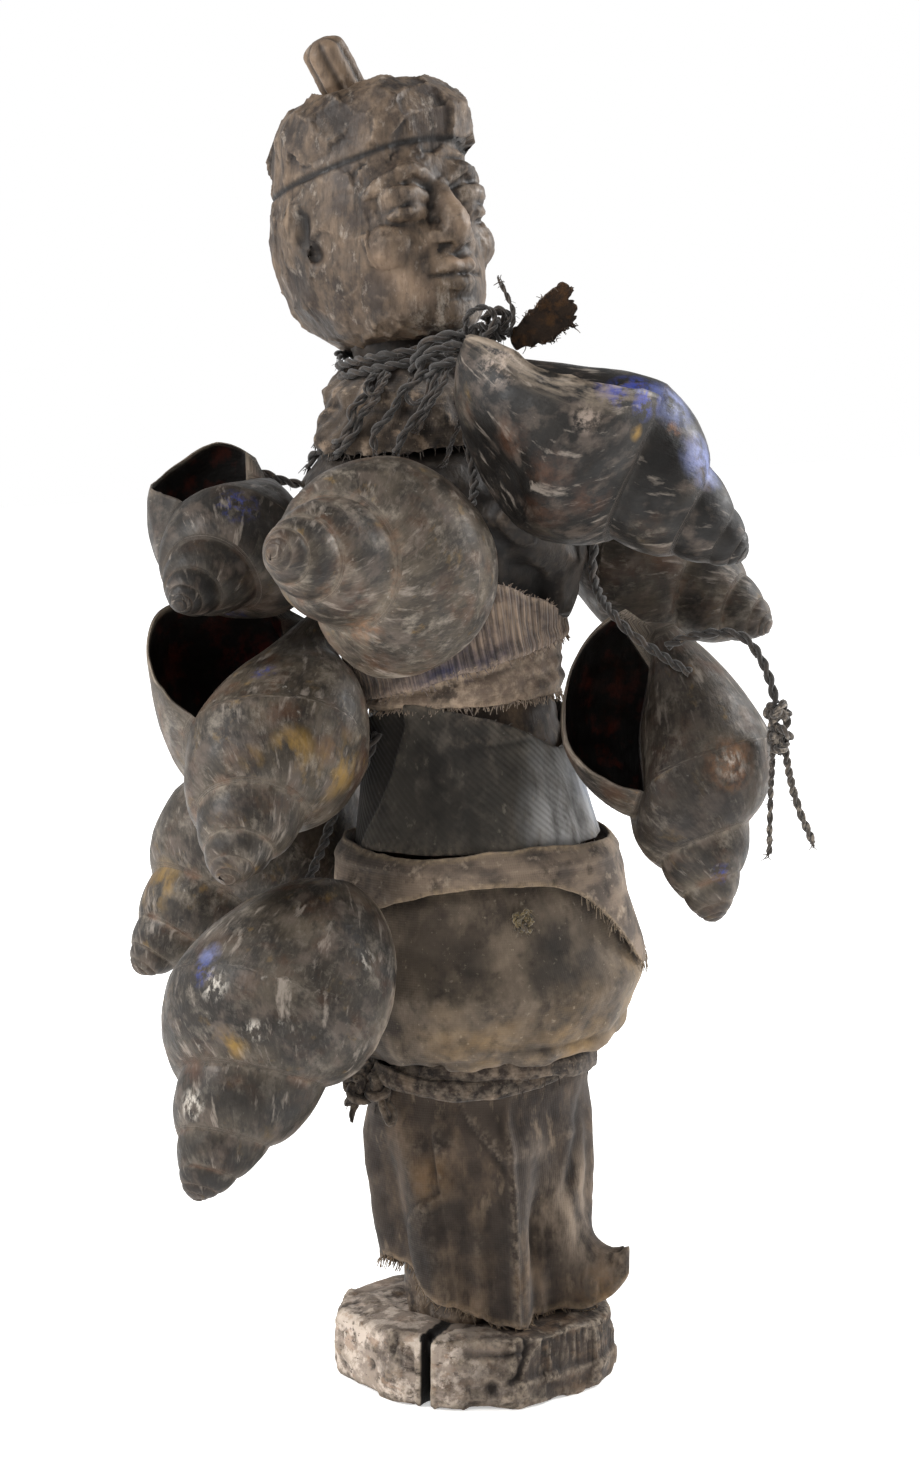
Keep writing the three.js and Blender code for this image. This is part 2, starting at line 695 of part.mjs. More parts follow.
addPiece('tail_knot', rod(tail.knot, [3, 5.4, 5.6, 4.6, 3.4], 8), cordMaterial);
addPiece('tail_end_long', cord(tail.endLong, 2.6, 6), cordMaterial);
addPiece('tail_end_wide', cord(tail.endWide, 3, 6), cordMaterial);

export default figure;
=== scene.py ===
import math

import bpy
import numpy as np
from mathutils import Matrix, Vector


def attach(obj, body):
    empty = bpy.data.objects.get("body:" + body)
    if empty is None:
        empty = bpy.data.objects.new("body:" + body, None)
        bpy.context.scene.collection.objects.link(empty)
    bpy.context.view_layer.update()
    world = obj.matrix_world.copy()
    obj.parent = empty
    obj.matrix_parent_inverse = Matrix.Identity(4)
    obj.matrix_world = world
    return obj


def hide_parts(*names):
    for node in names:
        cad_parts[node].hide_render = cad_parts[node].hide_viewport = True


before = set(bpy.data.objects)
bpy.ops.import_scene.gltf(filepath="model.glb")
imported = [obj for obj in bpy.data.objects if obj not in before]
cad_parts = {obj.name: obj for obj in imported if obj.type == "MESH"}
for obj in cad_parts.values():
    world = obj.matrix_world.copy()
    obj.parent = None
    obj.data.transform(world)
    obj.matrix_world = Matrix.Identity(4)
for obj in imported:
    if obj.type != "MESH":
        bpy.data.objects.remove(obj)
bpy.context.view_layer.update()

mm = 0.001               # metres; the pieces below are sized in millimetres, camera and lights in metres
print("frame loaded:", len(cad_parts), "nodes")


# Small tools

def srgb(hexColour):
    def linear(c):
        return c / 12.92 if c <= 0.04045 else ((c + 0.055) / 1.055) ** 2.4
    return tuple(linear(int(hexColour[i:i + 2], 16) / 255) for i in (1, 3, 5)) + (1.0,)


def smoothStep(low, high, x):
    t = np.clip((x - low) / (high - low), 0, 1)
    return t * t * (3 - 2 * t)


def valueNoise(points, size, seed=0):
    # smooth noise from -1 to 1, made from a number hashed out of each corner's place on a grid
    q = np.asarray(points, dtype=float) / size
    cell = np.floor(q).astype(np.int64)
    t = q - cell
    t = t * t * (3 - 2 * t)
    total = np.zeros(len(q))
    for corner in range(8):
        d = np.array([corner & 1, corner >> 1 & 1, corner >> 2 & 1])
        c = cell + d
        h = c[:, 0] * 374761393 + c[:, 1] * 668265263 + c[:, 2] * 2246822519 + seed * 3266489917
        h &= 0xFFFFFFFF
        h = ((h ^ (h >> 15)) * 2246822519) & 0xFFFFFFFF
        h = ((h ^ (h >> 13)) * 3266489917) & 0xFFFFFFFF
        value = ((h ^ (h >> 16)) & 0xFFFF) / 32767.5 - 1
        total += value * np.prod(np.where(d, t, 1 - t), axis=1)
    return total


def layeredNoise(points, size, octaves=3, seed=0):
    total = np.zeros(len(points))
    for k in range(octaves):
        total += valueNoise(points, size / 2 ** k, seed + k) / 2 ** k
    return total


def facesBySize(faces):
    # the triangles and then the quads, each as one array
    for size in (3, 4):
        some = np.array([f for f in faces if len(f) == size], dtype=np.int64)
        if len(some):
            yield size, some


def meshNormals(verts, faces):
    normals = np.zeros_like(verts)
    for size, some in facesBySize(faces):
        corners = verts[some]
        n = np.cross(corners[:, 2] - corners[:, 0], corners[:, -1] - corners[:, 1])
        for k in range(size):
            np.add.at(normals, some[:, k], n)
    return normals / np.maximum(np.linalg.norm(normals, axis=1, keepdims=True), 1e-12)


def wavered(points, amount, size, octaves, seed, seedStep=1):
    # points pushed about by noise of their own along each axis
    return points + amount * np.stack([layeredNoise(points, size, octaves, seed + seedStep * axis)
                                       for axis in range(3)], axis=1)


def relief(verts, faces, rounds, full):
    # how far each point stands out of the surface round it, and how far it sinks in, both from 0 to 1
    pairs = []
    for size, some in facesBySize(faces):
        for k in range(size):
            pairs.append(some[:, (k, (k + 1) % size)])
    a, b = np.concatenate(pairs).T
    count = np.maximum(np.bincount(a, minlength=len(verts)) + np.bincount(b, minlength=len(verts)), 1)
    even = np.array(verts, dtype=float)
    for _ in range(rounds):
        total = np.stack([np.bincount(a, even[b, k], len(verts)) + np.bincount(b, even[a, k], len(verts))
                          for k in range(3)], axis=1)
        even = even * 0.35 + total / count[:, None] * 0.65
    normals = meshNormals(verts, faces)
    if (normals * (verts - verts.mean(axis=0))).sum() < 0:
        normals = -normals
    out = ((verts - even) * normals).sum(axis=1) / full
    return np.clip(out, 0, 1), np.clip(-out, 0, 1)


def addMesh(name, verts, faces, material, values=None):
    # verts are in millimetres of the row frame; values are numbers per vertex for the material
    mesh = bpy.data.meshes.new(name)
    mesh.from_pydata((np.asarray(verts) * mm).tolist(), [], [list(map(int, f)) for f in faces])
    for key, numbers in (values or {}).items():
        layer = mesh.attributes.new(key, "FLOAT", "POINT")
        layer.data.foreach_set("value", np.asarray(numbers, dtype=np.float32))
    mesh.validate()
    mesh.polygons.foreach_set("use_smooth", np.ones(len(mesh.polygons), dtype=bool))
    if material:
        mesh.materials.append(material)
    made = bpy.data.objects.new(name, mesh)
    bpy.context.scene.collection.objects.link(made)
    return made


def rideRoot(piece, nodes):
    # the figure is one body, and each piece stands in for the CAD nodes named
    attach(piece, "root")
    if nodes:
        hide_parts(*nodes)


def addNode(tree, kind, settings=None, links=None):
    # a node with its settings and socket values, and what feeds its sockets
    made = tree.nodes.new(kind)
    for key, value in (settings or {}).items():
        if isinstance(key, int):
            made.inputs[key].default_value = value
        elif key in made.inputs:
            made.inputs[key].default_value = value
        else:
            setattr(made, key, value)
    for key, source in (links or {}).items():
        tree.links.new(source, made.inputs[key])
    return made


def times(tree, a, b):
    return addNode(tree, "ShaderNodeMath", {"operation": "MULTIPLY"}, {0: a, 1: b}).outputs["Value"]


def ranged(tree, value, low, high, first=0.0, last=1.0):
    # a value between low and high is brought between first and last, and held there beyond them
    return addNode(tree, "ShaderNodeMapRange",
                   {"From Min": low, "From Max": high, "To Min": first, "To Max": last},
                   {"Value": value}).outputs["Result"]


# Camera, light and floor

view = {
    "place": (-0.7363, -1.2607, 0.480),   # metres
    "down": 9.2,                          # degrees
    "azimuth": -30,
    "lens": 97.6,                         # millimetres
}


def makeCamera():
    data = bpy.data.cameras.new("camera")
    data.lens = view["lens"]
    data.sensor_width = 36
    camera = bpy.data.objects.new("camera", data)
    camera.location = view["place"]
    camera.rotation_euler = (math.radians(90 - view["down"]), 0, math.radians(view["azimuth"]))
    bpy.context.scene.collection.objects.link(camera)
    bpy.context.scene.camera = camera


studio = {
    "behind": 1.0,           # strength of the white tent behind the figure
    "infront": 0.28,         # and of its open side, in front of it
    "above": 0.35,
    "keyPower": 26, "keyPlace": (-1.30, 0.15, 1.05), "keySize": 0.8,
    "rimPower": 22, "rimPlace": (1.20, -0.25, 0.85), "rimSize": 0.7,
    "fillPower": 7, "fillPlace": (-0.55, -1.15, 1.35), "fillSize": 0.8,
    "aim": (-0.01, 0, 0.24),
    "floorColour": "#f4f3f1",
    "floorGlow": 0.45,
    "floorReach": 3000,      # millimetres from the middle to each side
}


def makeLight(name, power, place, size):
    data = bpy.data.lights.new(name, "AREA")
    data.energy = power
    data.size = size
    light = bpy.data.objects.new(name, data)
    light.location = place
    aim = Vector(studio["aim"]) - Vector(place)
    light.rotation_euler = aim.to_track_quat("-Z", "Y").to_euler()
    bpy.context.scene.collection.objects.link(light)


def makeTent():
    world = bpy.data.worlds.new("tent")
    world.use_nodes = True
    tree = world.node_tree
    way = addNode(tree, "ShaderNodeTexCoord").outputs["Generated"]
    away = (0.5, 0.866, 0)   # level, from the camera to the figure
    back = addNode(tree, "ShaderNodeVectorMath", {"operation": "DOT_PRODUCT", 1: away}, {0: way})
    back = ranged(tree, back.outputs["Value"], -0.5, 0.5, studio["infront"], studio["behind"])
    high = addNode(tree, "ShaderNodeSeparateXYZ", {}, {0: way})
    high = ranged(tree, high.outputs["Z"], 0.15, 0.6, 1.0, studio["above"])
    tree.links.new(times(tree, back, high), tree.nodes["Background"].inputs["Strength"])
    tree.nodes["Background"].inputs["Color"].default_value = srgb("#ffffff")
    bpy.context.scene.world = world


def makeFloor():
    paper = bpy.data.materials.new("whitePaper")
    paper.use_nodes = True
    tree = paper.node_tree
    shader = tree.nodes["Principled BSDF"]
    shader.inputs["Base Color"].default_value = srgb(studio["floorColour"])
    shader.inputs["Roughness"].default_value = 0.9
    shader.inputs["Emission Color"].default_value = srgb("#ffffff")
    # the sheet is lit up to pure white away from the figure, so that no edge shows
    place = addNode(tree, "ShaderNodeTexCoord").outputs["Object"]
    far = addNode(tree, "ShaderNodeVectorMath", {"operation": "LENGTH"}, {0: place}).outputs["Value"]
    glow = ranged(tree, far, 0.12, 0.7, studio["floorGlow"], 1.0)
    tree.links.new(glow, shader.inputs["Emission Strength"])
    side = studio["floorReach"]
    corners = [(-side, -side, 0), (side, -side, 0), (side, side, 0), (-side, side, 0)]
    addMesh("floor", corners, [(0, 1, 2, 3)], paper)


def makeStudio():
    for name in ("key", "rim", "fill"):
        makeLight(name, studio[name + "Power"], studio[name + "Place"], studio[name + "Size"])
    makeTent()
    makeFloor()
    bpy.context.scene.view_settings.view_transform = "Standard"


makeCamera()
makeStudio()
print("camera and studio ready")


# Materials

def coat(colour, size, start, full, amount=1.0, **more):
    # one layer of a finish: noise of this size, in millimetres, lays it on from start and thickest at full
    return dict(colour=colour, size=size, start=start, full=full, amount=amount, **more)


def attribute(tree, name):
    return addNode(tree, "ShaderNodeAttribute", {"attribute_name": name}).outputs["Fac"]


def stretched(tree, coords, size, stretch=(1, 1, 1), shift=0.0):
    # coords scaled so that one unit is size millimetres
    scale = [1000 / size * s for s in stretch]
    return addNode(tree, "ShaderNodeMapping",
                   {"Scale": scale, "Location": (shift, shift * 1.7, shift * 0.6)},
                   {"Vector": coords}).outputs["Vector"]


def patches(tree, coords, layer):
    # a soft-edged mask of noise, between 0 and the layer's amount
    place = stretched(tree, coords, layer["size"], layer.get("stretch", (1, 1, 1)), layer.get("shift", 0.0))
    noise = addNode(tree, "ShaderNodeTexNoise",
                    {"Scale": 1.0, "Detail": layer.get("detail", 4.0), "Roughness": layer.get("rough", 0.6)},
                    {"Vector": place})
    return ranged(tree, noise.outputs["Fac"], layer["start"], layer["full"], 0.0, layer["amount"])


def spot(tree, coords, place, radius):
    # 1 at a place in the row frame, given in millimetres, and 0 beyond its radius
    away = addNode(tree, "ShaderNodeVectorMath", {"operation": "DISTANCE", 1: [v * mm for v in place]},
                   {0: coords}).outputs["Value"]
    return ranged(tree, away, radius * mm, radius * 0.25 * mm)


def anySpot(tree, coords, spots):
    whole = None
    for place, radius in spots:
        one = spot(tree, coords, place, radius)
        whole = one if whole is None else addNode(
            tree, "ShaderNodeMath", {"operation": "MAXIMUM"}, {0: whole, 1: one}).outputs["Value"]
    return whole


def coated(tree, spec, place, along):
    # a base colour under layers of paint, dirt and wear, each laid through its own mask
    colour = None
    for layer in spec["layers"]:
        mask = patches(tree, along if layer.get("along") else place, layer)
        if "where" in layer:
            mask = times(tree, mask, attribute(tree, layer["where"]))
        if "spots" in layer:
            mask = times(tree, mask, anySpot(tree, place, layer["spots"]))
        # the mix node's sockets 6 and 7 take the two colours, and its output 2 gives the mix
        links = {0: mask}
        if colour is not None:
            links[6] = colour
        colour = addNode(tree, "ShaderNodeMix",
                         {"data_type": "RGBA", 6: srgb(spec["base"]), 7: srgb(layer["colour"])},
                         links).outputs[2]
    return colour


oneBand = 0.31416            # the wave texture's scale that gives one band a unit


def bumped(tree, spec, place, along):
    # the surface normal under the relief of threads, grain and grit
    normal = None
    for layer in spec["bumps"]:
        coords = stretched(tree, along if "wave" in layer or layer.get("along") else place, layer["size"],
                           layer.get("stretch", (1, 1, 1)))
        if "wave" in layer:
            height = addNode(tree, "ShaderNodeTexWave",
                             {"bands_direction": layer["wave"], "Scale": oneBand,
                              "Distortion": layer.get("warp", 0.6), "Detail": 1.0, "Detail Scale": 0.4},
                             {"Vector": coords})
        else:
            height = addNode(tree, "ShaderNodeTexNoise",
                             {"Scale": 1.0, "Detail": layer.get("detail", 3.0), "Roughness": 0.6},
                             {"Vector": coords})
        links = {"Height": height.outputs["Fac"]}
        if normal is not None:
            links["Normal"] = normal
        normal = addNode(tree, "ShaderNodeBump", {"Strength": 1.0, "Distance": layer["height"] * mm},
                         links).outputs["Normal"]
    return normal


def layeredMaterial(name, spec):
    material = bpy.data.materials.new(name)
    material.use_nodes = True
    tree = material.node_tree
    shader = tree.nodes["Principled BSDF"]
    place = addNode(tree, "ShaderNodeTexCoord").outputs["Object"]
    along = place
    if spec.get("thread"):
        # coordinates along and across the piece, which its mesh carries in metres
        along = addNode(tree, "ShaderNodeCombineXYZ", {}, {
            "X": attribute(tree, "along"), "Y": attribute(tree, "across")}).outputs["Vector"]
    low, high, size = spec["roughness"]
    noise = addNode(tree, "ShaderNodeTexNoise", {"Scale": 1.0, "Detail": 3.0},
                    {"Vector": stretched(tree, place, size)})
    rough = ranged(tree, noise.outputs["Fac"], 0.3, 0.7, low, high)
    tree.links.new(coated(tree, spec, place, along), shader.inputs["Base Color"])
    tree.links.new(rough, shader.inputs["Roughness"])
    tree.links.new(bumped(tree, spec, place, along), shader.inputs["Normal"])
    shader.inputs["Specular IOR Level"].default_value = spec["specular"]
    if "sheen" in spec:
        shader.inputs["Sheen Weight"].default_value = spec["sheen"]
        shader.inputs["Sheen Roughness"].default_value = 0.6
    return material


# Mesh tools: tubes, cords, fused solids

def pathLengths(path):
    # the length of a path up to each of its points
    return np.concatenate([[0], np.cumsum(np.linalg.norm(np.diff(path, axis=0), axis=1))])


def smoothPath(points, step):
    # an even run of points along a smooth curve; further columns, such as a radius, are carried along
    p = np.array(points, dtype=float)
    ends = np.vstack([2 * p[0] - p[1], p, 2 * p[-1] - p[-2]])
    runs = []
    for i in range(len(p) - 1):
        a, b, c, d = ends[i:i + 4]
        t = np.linspace(0, 1, 24, endpoint=False)[:, None]
        runs.append(0.5 * (2 * b + (c - a) * t + (2 * a - 5 * b + 4 * c - d) * t ** 2
                           + (3 * b - a - 3 * c + d) * t ** 3))
    dense = np.concatenate(runs + [p[-1:]])
    lengths = pathLengths(dense[:, :3])
    at = np.linspace(0, lengths[-1], max(3, int(round(lengths[-1] / step)) + 1))
    return np.stack([np.interp(at, lengths, column) for column in dense.T], axis=1)


def pathFrames(path):
    # at each point the way ahead and two ways across it, which turn as little as they can
    ahead = np.gradient(path, axis=0)
    ahead /= np.linalg.norm(ahead, axis=1, keepdims=True)
    sides = np.zeros_like(path)
    side = np.cross(ahead[0], (0, 1, 0))
    if np.linalg.norm(side) < 0.2:
        side = np.array([1.0, 0, 0])
    for i, direction in enumerate(ahead):
        side = side - direction * side.dot(direction)
        side = side / np.linalg.norm(side)
        sides[i] = side
    return ahead, sides, np.cross(ahead, sides)


def ringFaces(rows, size, closed=False):
    # quads between rows of points that each run round in a ring
    faces = []
    for i in range(rows if closed else rows - 1):
        here, ahead = i * size, (i + 1) % rows * size
        for j in range(size):
            k = (j + 1) % size
            faces.append((here + j, here + k, ahead + k, ahead + j))
    return faces


def tube(path, radii, sides=8, flat=1.0):
    # verts, faces and values of a closed tube along a path
    path = np.asarray(path, dtype=float)
    _, side, up = pathFrames(path)
    turn = 2 * np.pi * np.arange(sides) / sides
    radii = np.broadcast_to(np.asarray(radii, dtype=float), (len(path),))
    around = np.cos(turn)[None, :, None] * side[:, None] + np.sin(turn)[None, :, None] * up[:, None] * flat
    verts = (path[:, None] + around * radii[:, None, None]).reshape(-1, 3)
    faces = ringFaces(len(path), sides)
    verts = np.vstack([verts, path[0], path[-1]])
    last = (len(path) - 1) * sides
    for j in range(sides):
        k = (j + 1) % sides
        faces.append((len(verts) - 2, k, j))
        faces.append((len(verts) - 1, last + j, last + k))
    lengths = pathLengths(path)
    along = np.concatenate([np.repeat(lengths, sides), [0, lengths[-1]]]) * mm
    across = np.concatenate([np.tile(turn, len(path)) * radii.mean(), [0, 0]]) * mm
    return verts, faces, {"along": along, "across": across}


def joined(parts):
    # several meshes as one
    verts, faces, values = [], [], {}
    start = 0
    for v, f, more in parts:
        verts.append(v)
        faces += [tuple(k + start for k in face) for face in f]
        for key, numbers in more.items():
            values.setdefault(key, []).append(numbers)
        start += len(v)
    return np.concatenate(verts), faces, {k: np.concatenate(n) for k, n in values.items()}


def addPiece(name, node, parts, material):
    verts, faces, values = joined(parts)
    piece = addMesh(name, verts, faces, material, values)
    rideRoot(piece, [node])
    return piece


def twistedStrands(path, diameter, pitch=None, sides=7, rough=0.1, seed=0):
    # two plies laid round one another along a path
    pitch = pitch or diameter * 3.4
    _, side, up = pathFrames(path)
    lengths = pathLengths(path)
    off = diameter * 0.25
    radius = diameter / 2 - off * 0.92
    parts = []
    for ply in range(2):
        turn = 2 * np.pi * (lengths / pitch + ply / 2) + 0.5 * np.sin(lengths / pitch * 1.7 + seed)
        centres = path + off * (np.cos(turn)[:, None] * side + np.sin(turn)[:, None] * up)
        lumps = 1 + rough * layeredNoise(centres, diameter * 0.7, 2, seed + ply)
        parts.append(tube(centres, radius * lumps, sides))
    return parts


def hairs(path, reach, count, seed, length=3.0, radius=0.13, drop=0.3):
    # loose fibres that stand off a cord or a hem
    rng = np.random.default_rng(seed)
    parts = []
    for _ in range(count):
        root = path[rng.integers(len(path))]
        way = rng.normal(size=3)
        way /= np.linalg.norm(way)
        curl = rng.normal(size=3) * 0.5
        steps = np.linspace(0, 1, 4)[:, None]
        long = length * rng.uniform(0.4, 1.0)
        line = root + way * reach * 0.6 + way * long * steps + curl * long * steps ** 2 * 0.6
        line[:, 2] -= drop * long * steps[:, 0] ** 2
        parts.append(tube(line, np.linspace(radius, radius * 0.5, 4), 3))
    return parts


def trefoil(centre, size, axes, step=0.5):
    # the path of a plain overhand knot, as a closed loop
    t = np.linspace(0, 2 * np.pi, 120)
    loop = np.stack([np.sin(t) + 2 * np.sin(2 * t), np.cos(t) - 2 * np.cos(2 * t), -1.4 * np.sin(3 * t)],
                    axis=1) / 3
    turned = loop @ np.array(Matrix.Rotation(axes[0], 3, "X") @ Matrix.Rotation(axes[1], 3, "Z"))
    return smoothPath((np.array(centre) + turned * np.array(size))[::6], step)


def loft(rows):
    # a closed solid from rows of points, with flat ends
    size = len(rows[0])
    verts = np.concatenate(rows)
    faces = ringFaces(len(rows), size)
    faces.append(tuple(range(size))[::-1])
    faces.append(tuple(range((len(rows) - 1) * size, len(rows) * size)))
    return verts, faces, {}


def ball(centre, radii):
    columns, rings = 28, 16
    turn = 2 * np.pi * np.arange(columns) / columns
    rows = []
    for i in range(1, rings):
        polar = math.pi * i / rings
        rows.append(np.array(centre) + np.stack([
            radii[0] * math.sin(polar) * np.cos(turn), radii[1] * math.sin(polar) * np.sin(turn),
            np.full(columns, -radii[2] * math.cos(polar))], axis=1))
    return loft(rows)


def rod(points, radii):
    rows = smoothPath(np.column_stack([np.array(points, dtype=float), radii]), 1.5)
    return tube(rows[:, :3], rows[:, 3], 24)


def fused(parts, voxel, rounds=2):
    # closed solids become one skin: remeshed on a grid, then evened
    verts, faces, _ = joined([(v, f, {}) for v, f, _ in parts])
    mesh = bpy.data.meshes.new("fusing")
    mesh.from_pydata(verts.tolist(), [], [list(map(int, f)) for f in faces])
    holder = bpy.data.objects.new("fusing", mesh)
    bpy.context.scene.collection.objects.link(holder)
    grid = holder.modifiers.new("grid", "REMESH")
    grid.mode = "VOXEL"
    grid.voxel_size = voxel
    done = holder.evaluated_get(bpy.context.evaluated_depsgraph_get()).to_mesh()
    points = np.empty(len(done.vertices) * 3)
    done.vertices.foreach_get("co", points)
    points = points.reshape(-1, 3)
    quads = [tuple(p.vertices) for p in done.polygons]
    edges = np.array([tuple(e.vertices) for e in done.edges])
    holder.to_mesh_clear()
    bpy.data.objects.remove(holder)
    bpy.data.meshes.remove(mesh)
    for _ in range(rounds):
        total = np.zeros_like(points)
        count = np.zeros(len(points))
        for a, b in ((0, 1), (1, 0)):
            np.add.at(total, edges[:, a], points[edges[:, b]])
            np.add.at(count, edges[:, a], 1)
        points = points * 0.4 + total / np.maximum(count, 1)[:, None] * 0.6
    return points, quads


def facetCuts(points, normals, size, amount, limit, seed):
    # flat cuts as an adze or knife leaves them: each patch is drawn towards its own plane
    rng = np.random.default_rng(seed)
    cells = np.floor(points / size + rng.uniform(0, 1, 3)).astype(int)
    _, first = np.unique(cells, axis=0, return_index=True)
    seeds = points[first] + rng.normal(size=(len(first), 3)) * size * 0.25
    nearest = np.empty(len(points), dtype=int)
    for i in range(0, len(points), 4000):
        some = points[i:i + 4000]
        nearest[i:i + 4000] = ((some[:, None] - seeds[None]) ** 2).sum(axis=2).argmin(axis=1)
    count = np.maximum(np.bincount(nearest, minlength=len(seeds)), 1)
    middle = np.stack([np.bincount(nearest, points[:, k], len(seeds)) for k in range(3)], axis=1)
    middle /= count[:, None]
    facing = np.stack([np.bincount(nearest, normals[:, k], len(seeds)) for k in range(3)], axis=1)
    facing /= np.maximum(np.linalg.norm(facing, axis=1, keepdims=True), 1e-9)
    height = ((middle[nearest] - points) * facing[nearest]).sum(axis=1) * amount
    return points + facing[nearest] * np.clip(height, -limit, limit)[:, None]


def nearLine(points, line):
    # distance from each point to a run of straight pieces
    best = np.full(len(points), 1e9)
    line = np.array(line, dtype=float)
    for a, b in zip(line[:-1], line[1:]):
        t = np.clip(((points - a) @ (b - a)) / max((b - a) @ (b - a), 1e-9), 0, 1)
        best = np.minimum(best, np.linalg.norm(points - a - t[:, None] * (b - a), axis=1))
    return best


def groove(points, normals, line, width, depth):
    # cuts a crack or groove along a line, or raises a ridge where the depth is negative
    away = nearLine(points, line)
    return points - normals * (depth * np.exp(-(away / width) ** 2))[:, None]


# The body under the cloth, from the part's own stations: height, centre, half width and half depth

bodyStations = np.array([
    (28, 2, -2, 37, 35), (50, 2, -2, 40, 34), (105, 0, 0, 46, 36), (122, 1, -2, 45, 36),
    (155, 2, -4, 56, 48), (193, 0, -2, 52, 41), (234, -3, 2, 42, 34), (261, -5, 6, 40, 31),
    (300, -8, 12, 48, 30), (340, -12, 18, 50, 30), (352, -13, 20, 44, 27), (365, -14, 23, 29, 25),
    (385, -16, 29, 27, 27)], dtype=float)


def bodyPoint(z, angle, out):
    # a point at this height and angle, out millimetres off the body
    z, angle, out = np.broadcast_arrays(np.asarray(z, dtype=float), angle, out)
    cx, cy, hx, hy = (np.interp(z, bodyStations[:, 0], bodyStations[:, k]) for k in (1, 2, 3, 4))
    return np.stack([cx + (hx + out) * np.cos(angle), cy + (hy + out) * np.sin(angle), z], axis=-1)


def wrapAngle(angle):
    return np.arctan2(np.sin(angle), np.cos(angle))


def hump(angle, centre, width):
    # 1 at a centre in degrees, falling to nothing over a width in degrees
    return np.exp(-(wrapAngle(angle - math.radians(centre)) / math.radians(width)) ** 2)


def slant(angle, centre):
    # 1 on the side that faces the centre and -1 behind
    return np.cos(angle - math.radians(centre))


# Cords: two-ply cotton, black with handling

cordSpec = {
    "rope": 3.6,             # millimetres
    "fibres": 0.9,           # loose fibres per millimetre of cord
    "step": 0.5,             # millimetres between the points of a path
}

cordYarn = {
    "thread": True,
    "base": "#2b2622",
    "layers": [
        coat("#45392f", 9, 0.48, 0.62, 0.8),
        coat("#7d6d5d", 2.4, 0.6, 0.7, 0.5, detail=6),
        coat("#15120f", 0.7, 0.45, 0.65, 0.8, stretch=(0.3, 1, 1), along=True),
    ],
    "roughness": (0.75, 0.95, 4),
    "bumps": [
        {"size": 0.6, "stretch": (0.3, 1, 1), "height": 0.35, "along": True},
    ],
    "specular": 0.2,
    "sheen": 0.25,
}

heldCords = {
    "openShellCord": ("cord_open_shell", [
        (6, 2, 370), (16, 0, 360), (27, -3, 349), (36, -8, 336), (42, -12, 320), (37, -19, 306),
        (33, -30, 298), (30.5, -42, 293), (33, -50, 286.5), (36, -56, 282.5), (38.5, -61.5, 279.5),
        (41, -67.5, 276.4), (44.5, -73.5, 273.5)]),
    "chestShellCord": ("cord_chest_shell", [
        (-10, -15, 380.7), (-13, -15, 370), (-14.5, -16, 357), (-15, -20, 346), (-20, -30, 337),
        (-29.5, -39.3, 327.7)]),
    "hipShellCord": ("cord_hip_shell", [
        (-46, -5, 249), (-49.4, -4, 241), (-53, -1, 231), (-56, 8, 220), (-66, 1, 207),
        (-78.5, -10.6, 196.4)]),
    "leftLowerShellCord": ("cord_left_lower_shell", [
        (-39.6, 22.1, 252.3), (-45, 27, 251), (-46, 38, 247), (-43, 46, 240), (-41.3, 49.4, 232.3)]),
    "backShellCord": ("cord_back_shell", [
        (2.5, 44.7, 379.2), (9, 51, 375), (22, 58, 366), (36, 60, 352), (48, 54, 340), (53.2, 50.5, 329.8)]),
    "leftUpperShellCord": ("cord_left_upper_shell", [
        (-13, 52.6, 378.4), (-13, 59, 372), (-15, 61, 362), (-17, 62, 350), (-23, 62, 340), (-34, 61.4, 334),
        (-46, 60.8, 334.6), (-58.3, 62, 339)]),
    "leftMiddleShellCord": ("cord_left_middle_shell", [
        (-23.9, 51.1, 378.3), (-25, 57.5, 374.5), (-29, 60, 362), (-34, 58, 350), (-41, 52, 328),
        (-50, 45, 306), (-58, 39, 293), (-63.2, 37.3, 288.3)]),
}

tail = {
    "route": [(41, -63.5, 281.9), (44.5, -66.5, 284.2), (50, -70, 286), (56, -77, 287.5), (61, -83.5, 286),
              (63.5, -89.5, 280), (65, -93.5, 273), (66, -95.5, 266.5), (66.6, -95.8, 263.2)],
    "longEnd": [(66, -95.5, 247), (65.5, -95.5, 239), (65, -95.5, 227), (64.5, -96, 209)],
    "wideEnd": [(70, -97, 247), (71.5, -98.5, 236), (73.5, -101.5, 225), (77, -105.5, 213)],
    # each turn of the knot by its centre, size and tilt
    "knots": [((67.6, -96, 260.5), (4.6, 3.4, 4.4), (0.4, 0.3)),
              ((68, -96.4, 254), (5.2, 3.6, 4.6), (1.4, 1.1)),
              ((68, -96.4, 248.5), (3.8, 3.2, 4.2), (0.7, 2.3))],
}


def makeCord(name, node, route, seed, fibres=cordSpec["fibres"]):
    path = smoothPath(route, cordSpec["step"])
    parts = twistedStrands(path, cordSpec["rope"], seed=seed)
    count = int(len(path) * cordSpec["step"] * fibres)
    parts += hairs(path, cordSpec["rope"] / 2, count, seed, length=cordSpec["rope"] * 0.5)
    return addPiece(name, node, parts, cordMaterial), path


def frayedEnd(end, way, diameter, seed, count, length):
    rng = np.random.default_rng(seed)
    parts = []
    for _ in range(count):
        spread = np.array(way) + rng.normal(size=3) * 0.35
        steps = np.linspace(0, 1, 5)[:, None]
        long = length * rng.uniform(0.5, 1)
        line = np.array(end) + rng.normal(size=3) * diameter * 0.15 + spread * long * steps
        line += rng.normal(size=3) * steps ** 2 * 1.0
        parts.append(tube(line, np.linspace(0.3, 0.15, 5), 4))
    return parts


cordMaterial = layeredMaterial("blackenedCottonCord", cordYarn)
for number, (cordName, (nodeName, route)) in enumerate(heldCords.items()):
    piece, path = makeCord(cordName, nodeName, route, 11 + number)


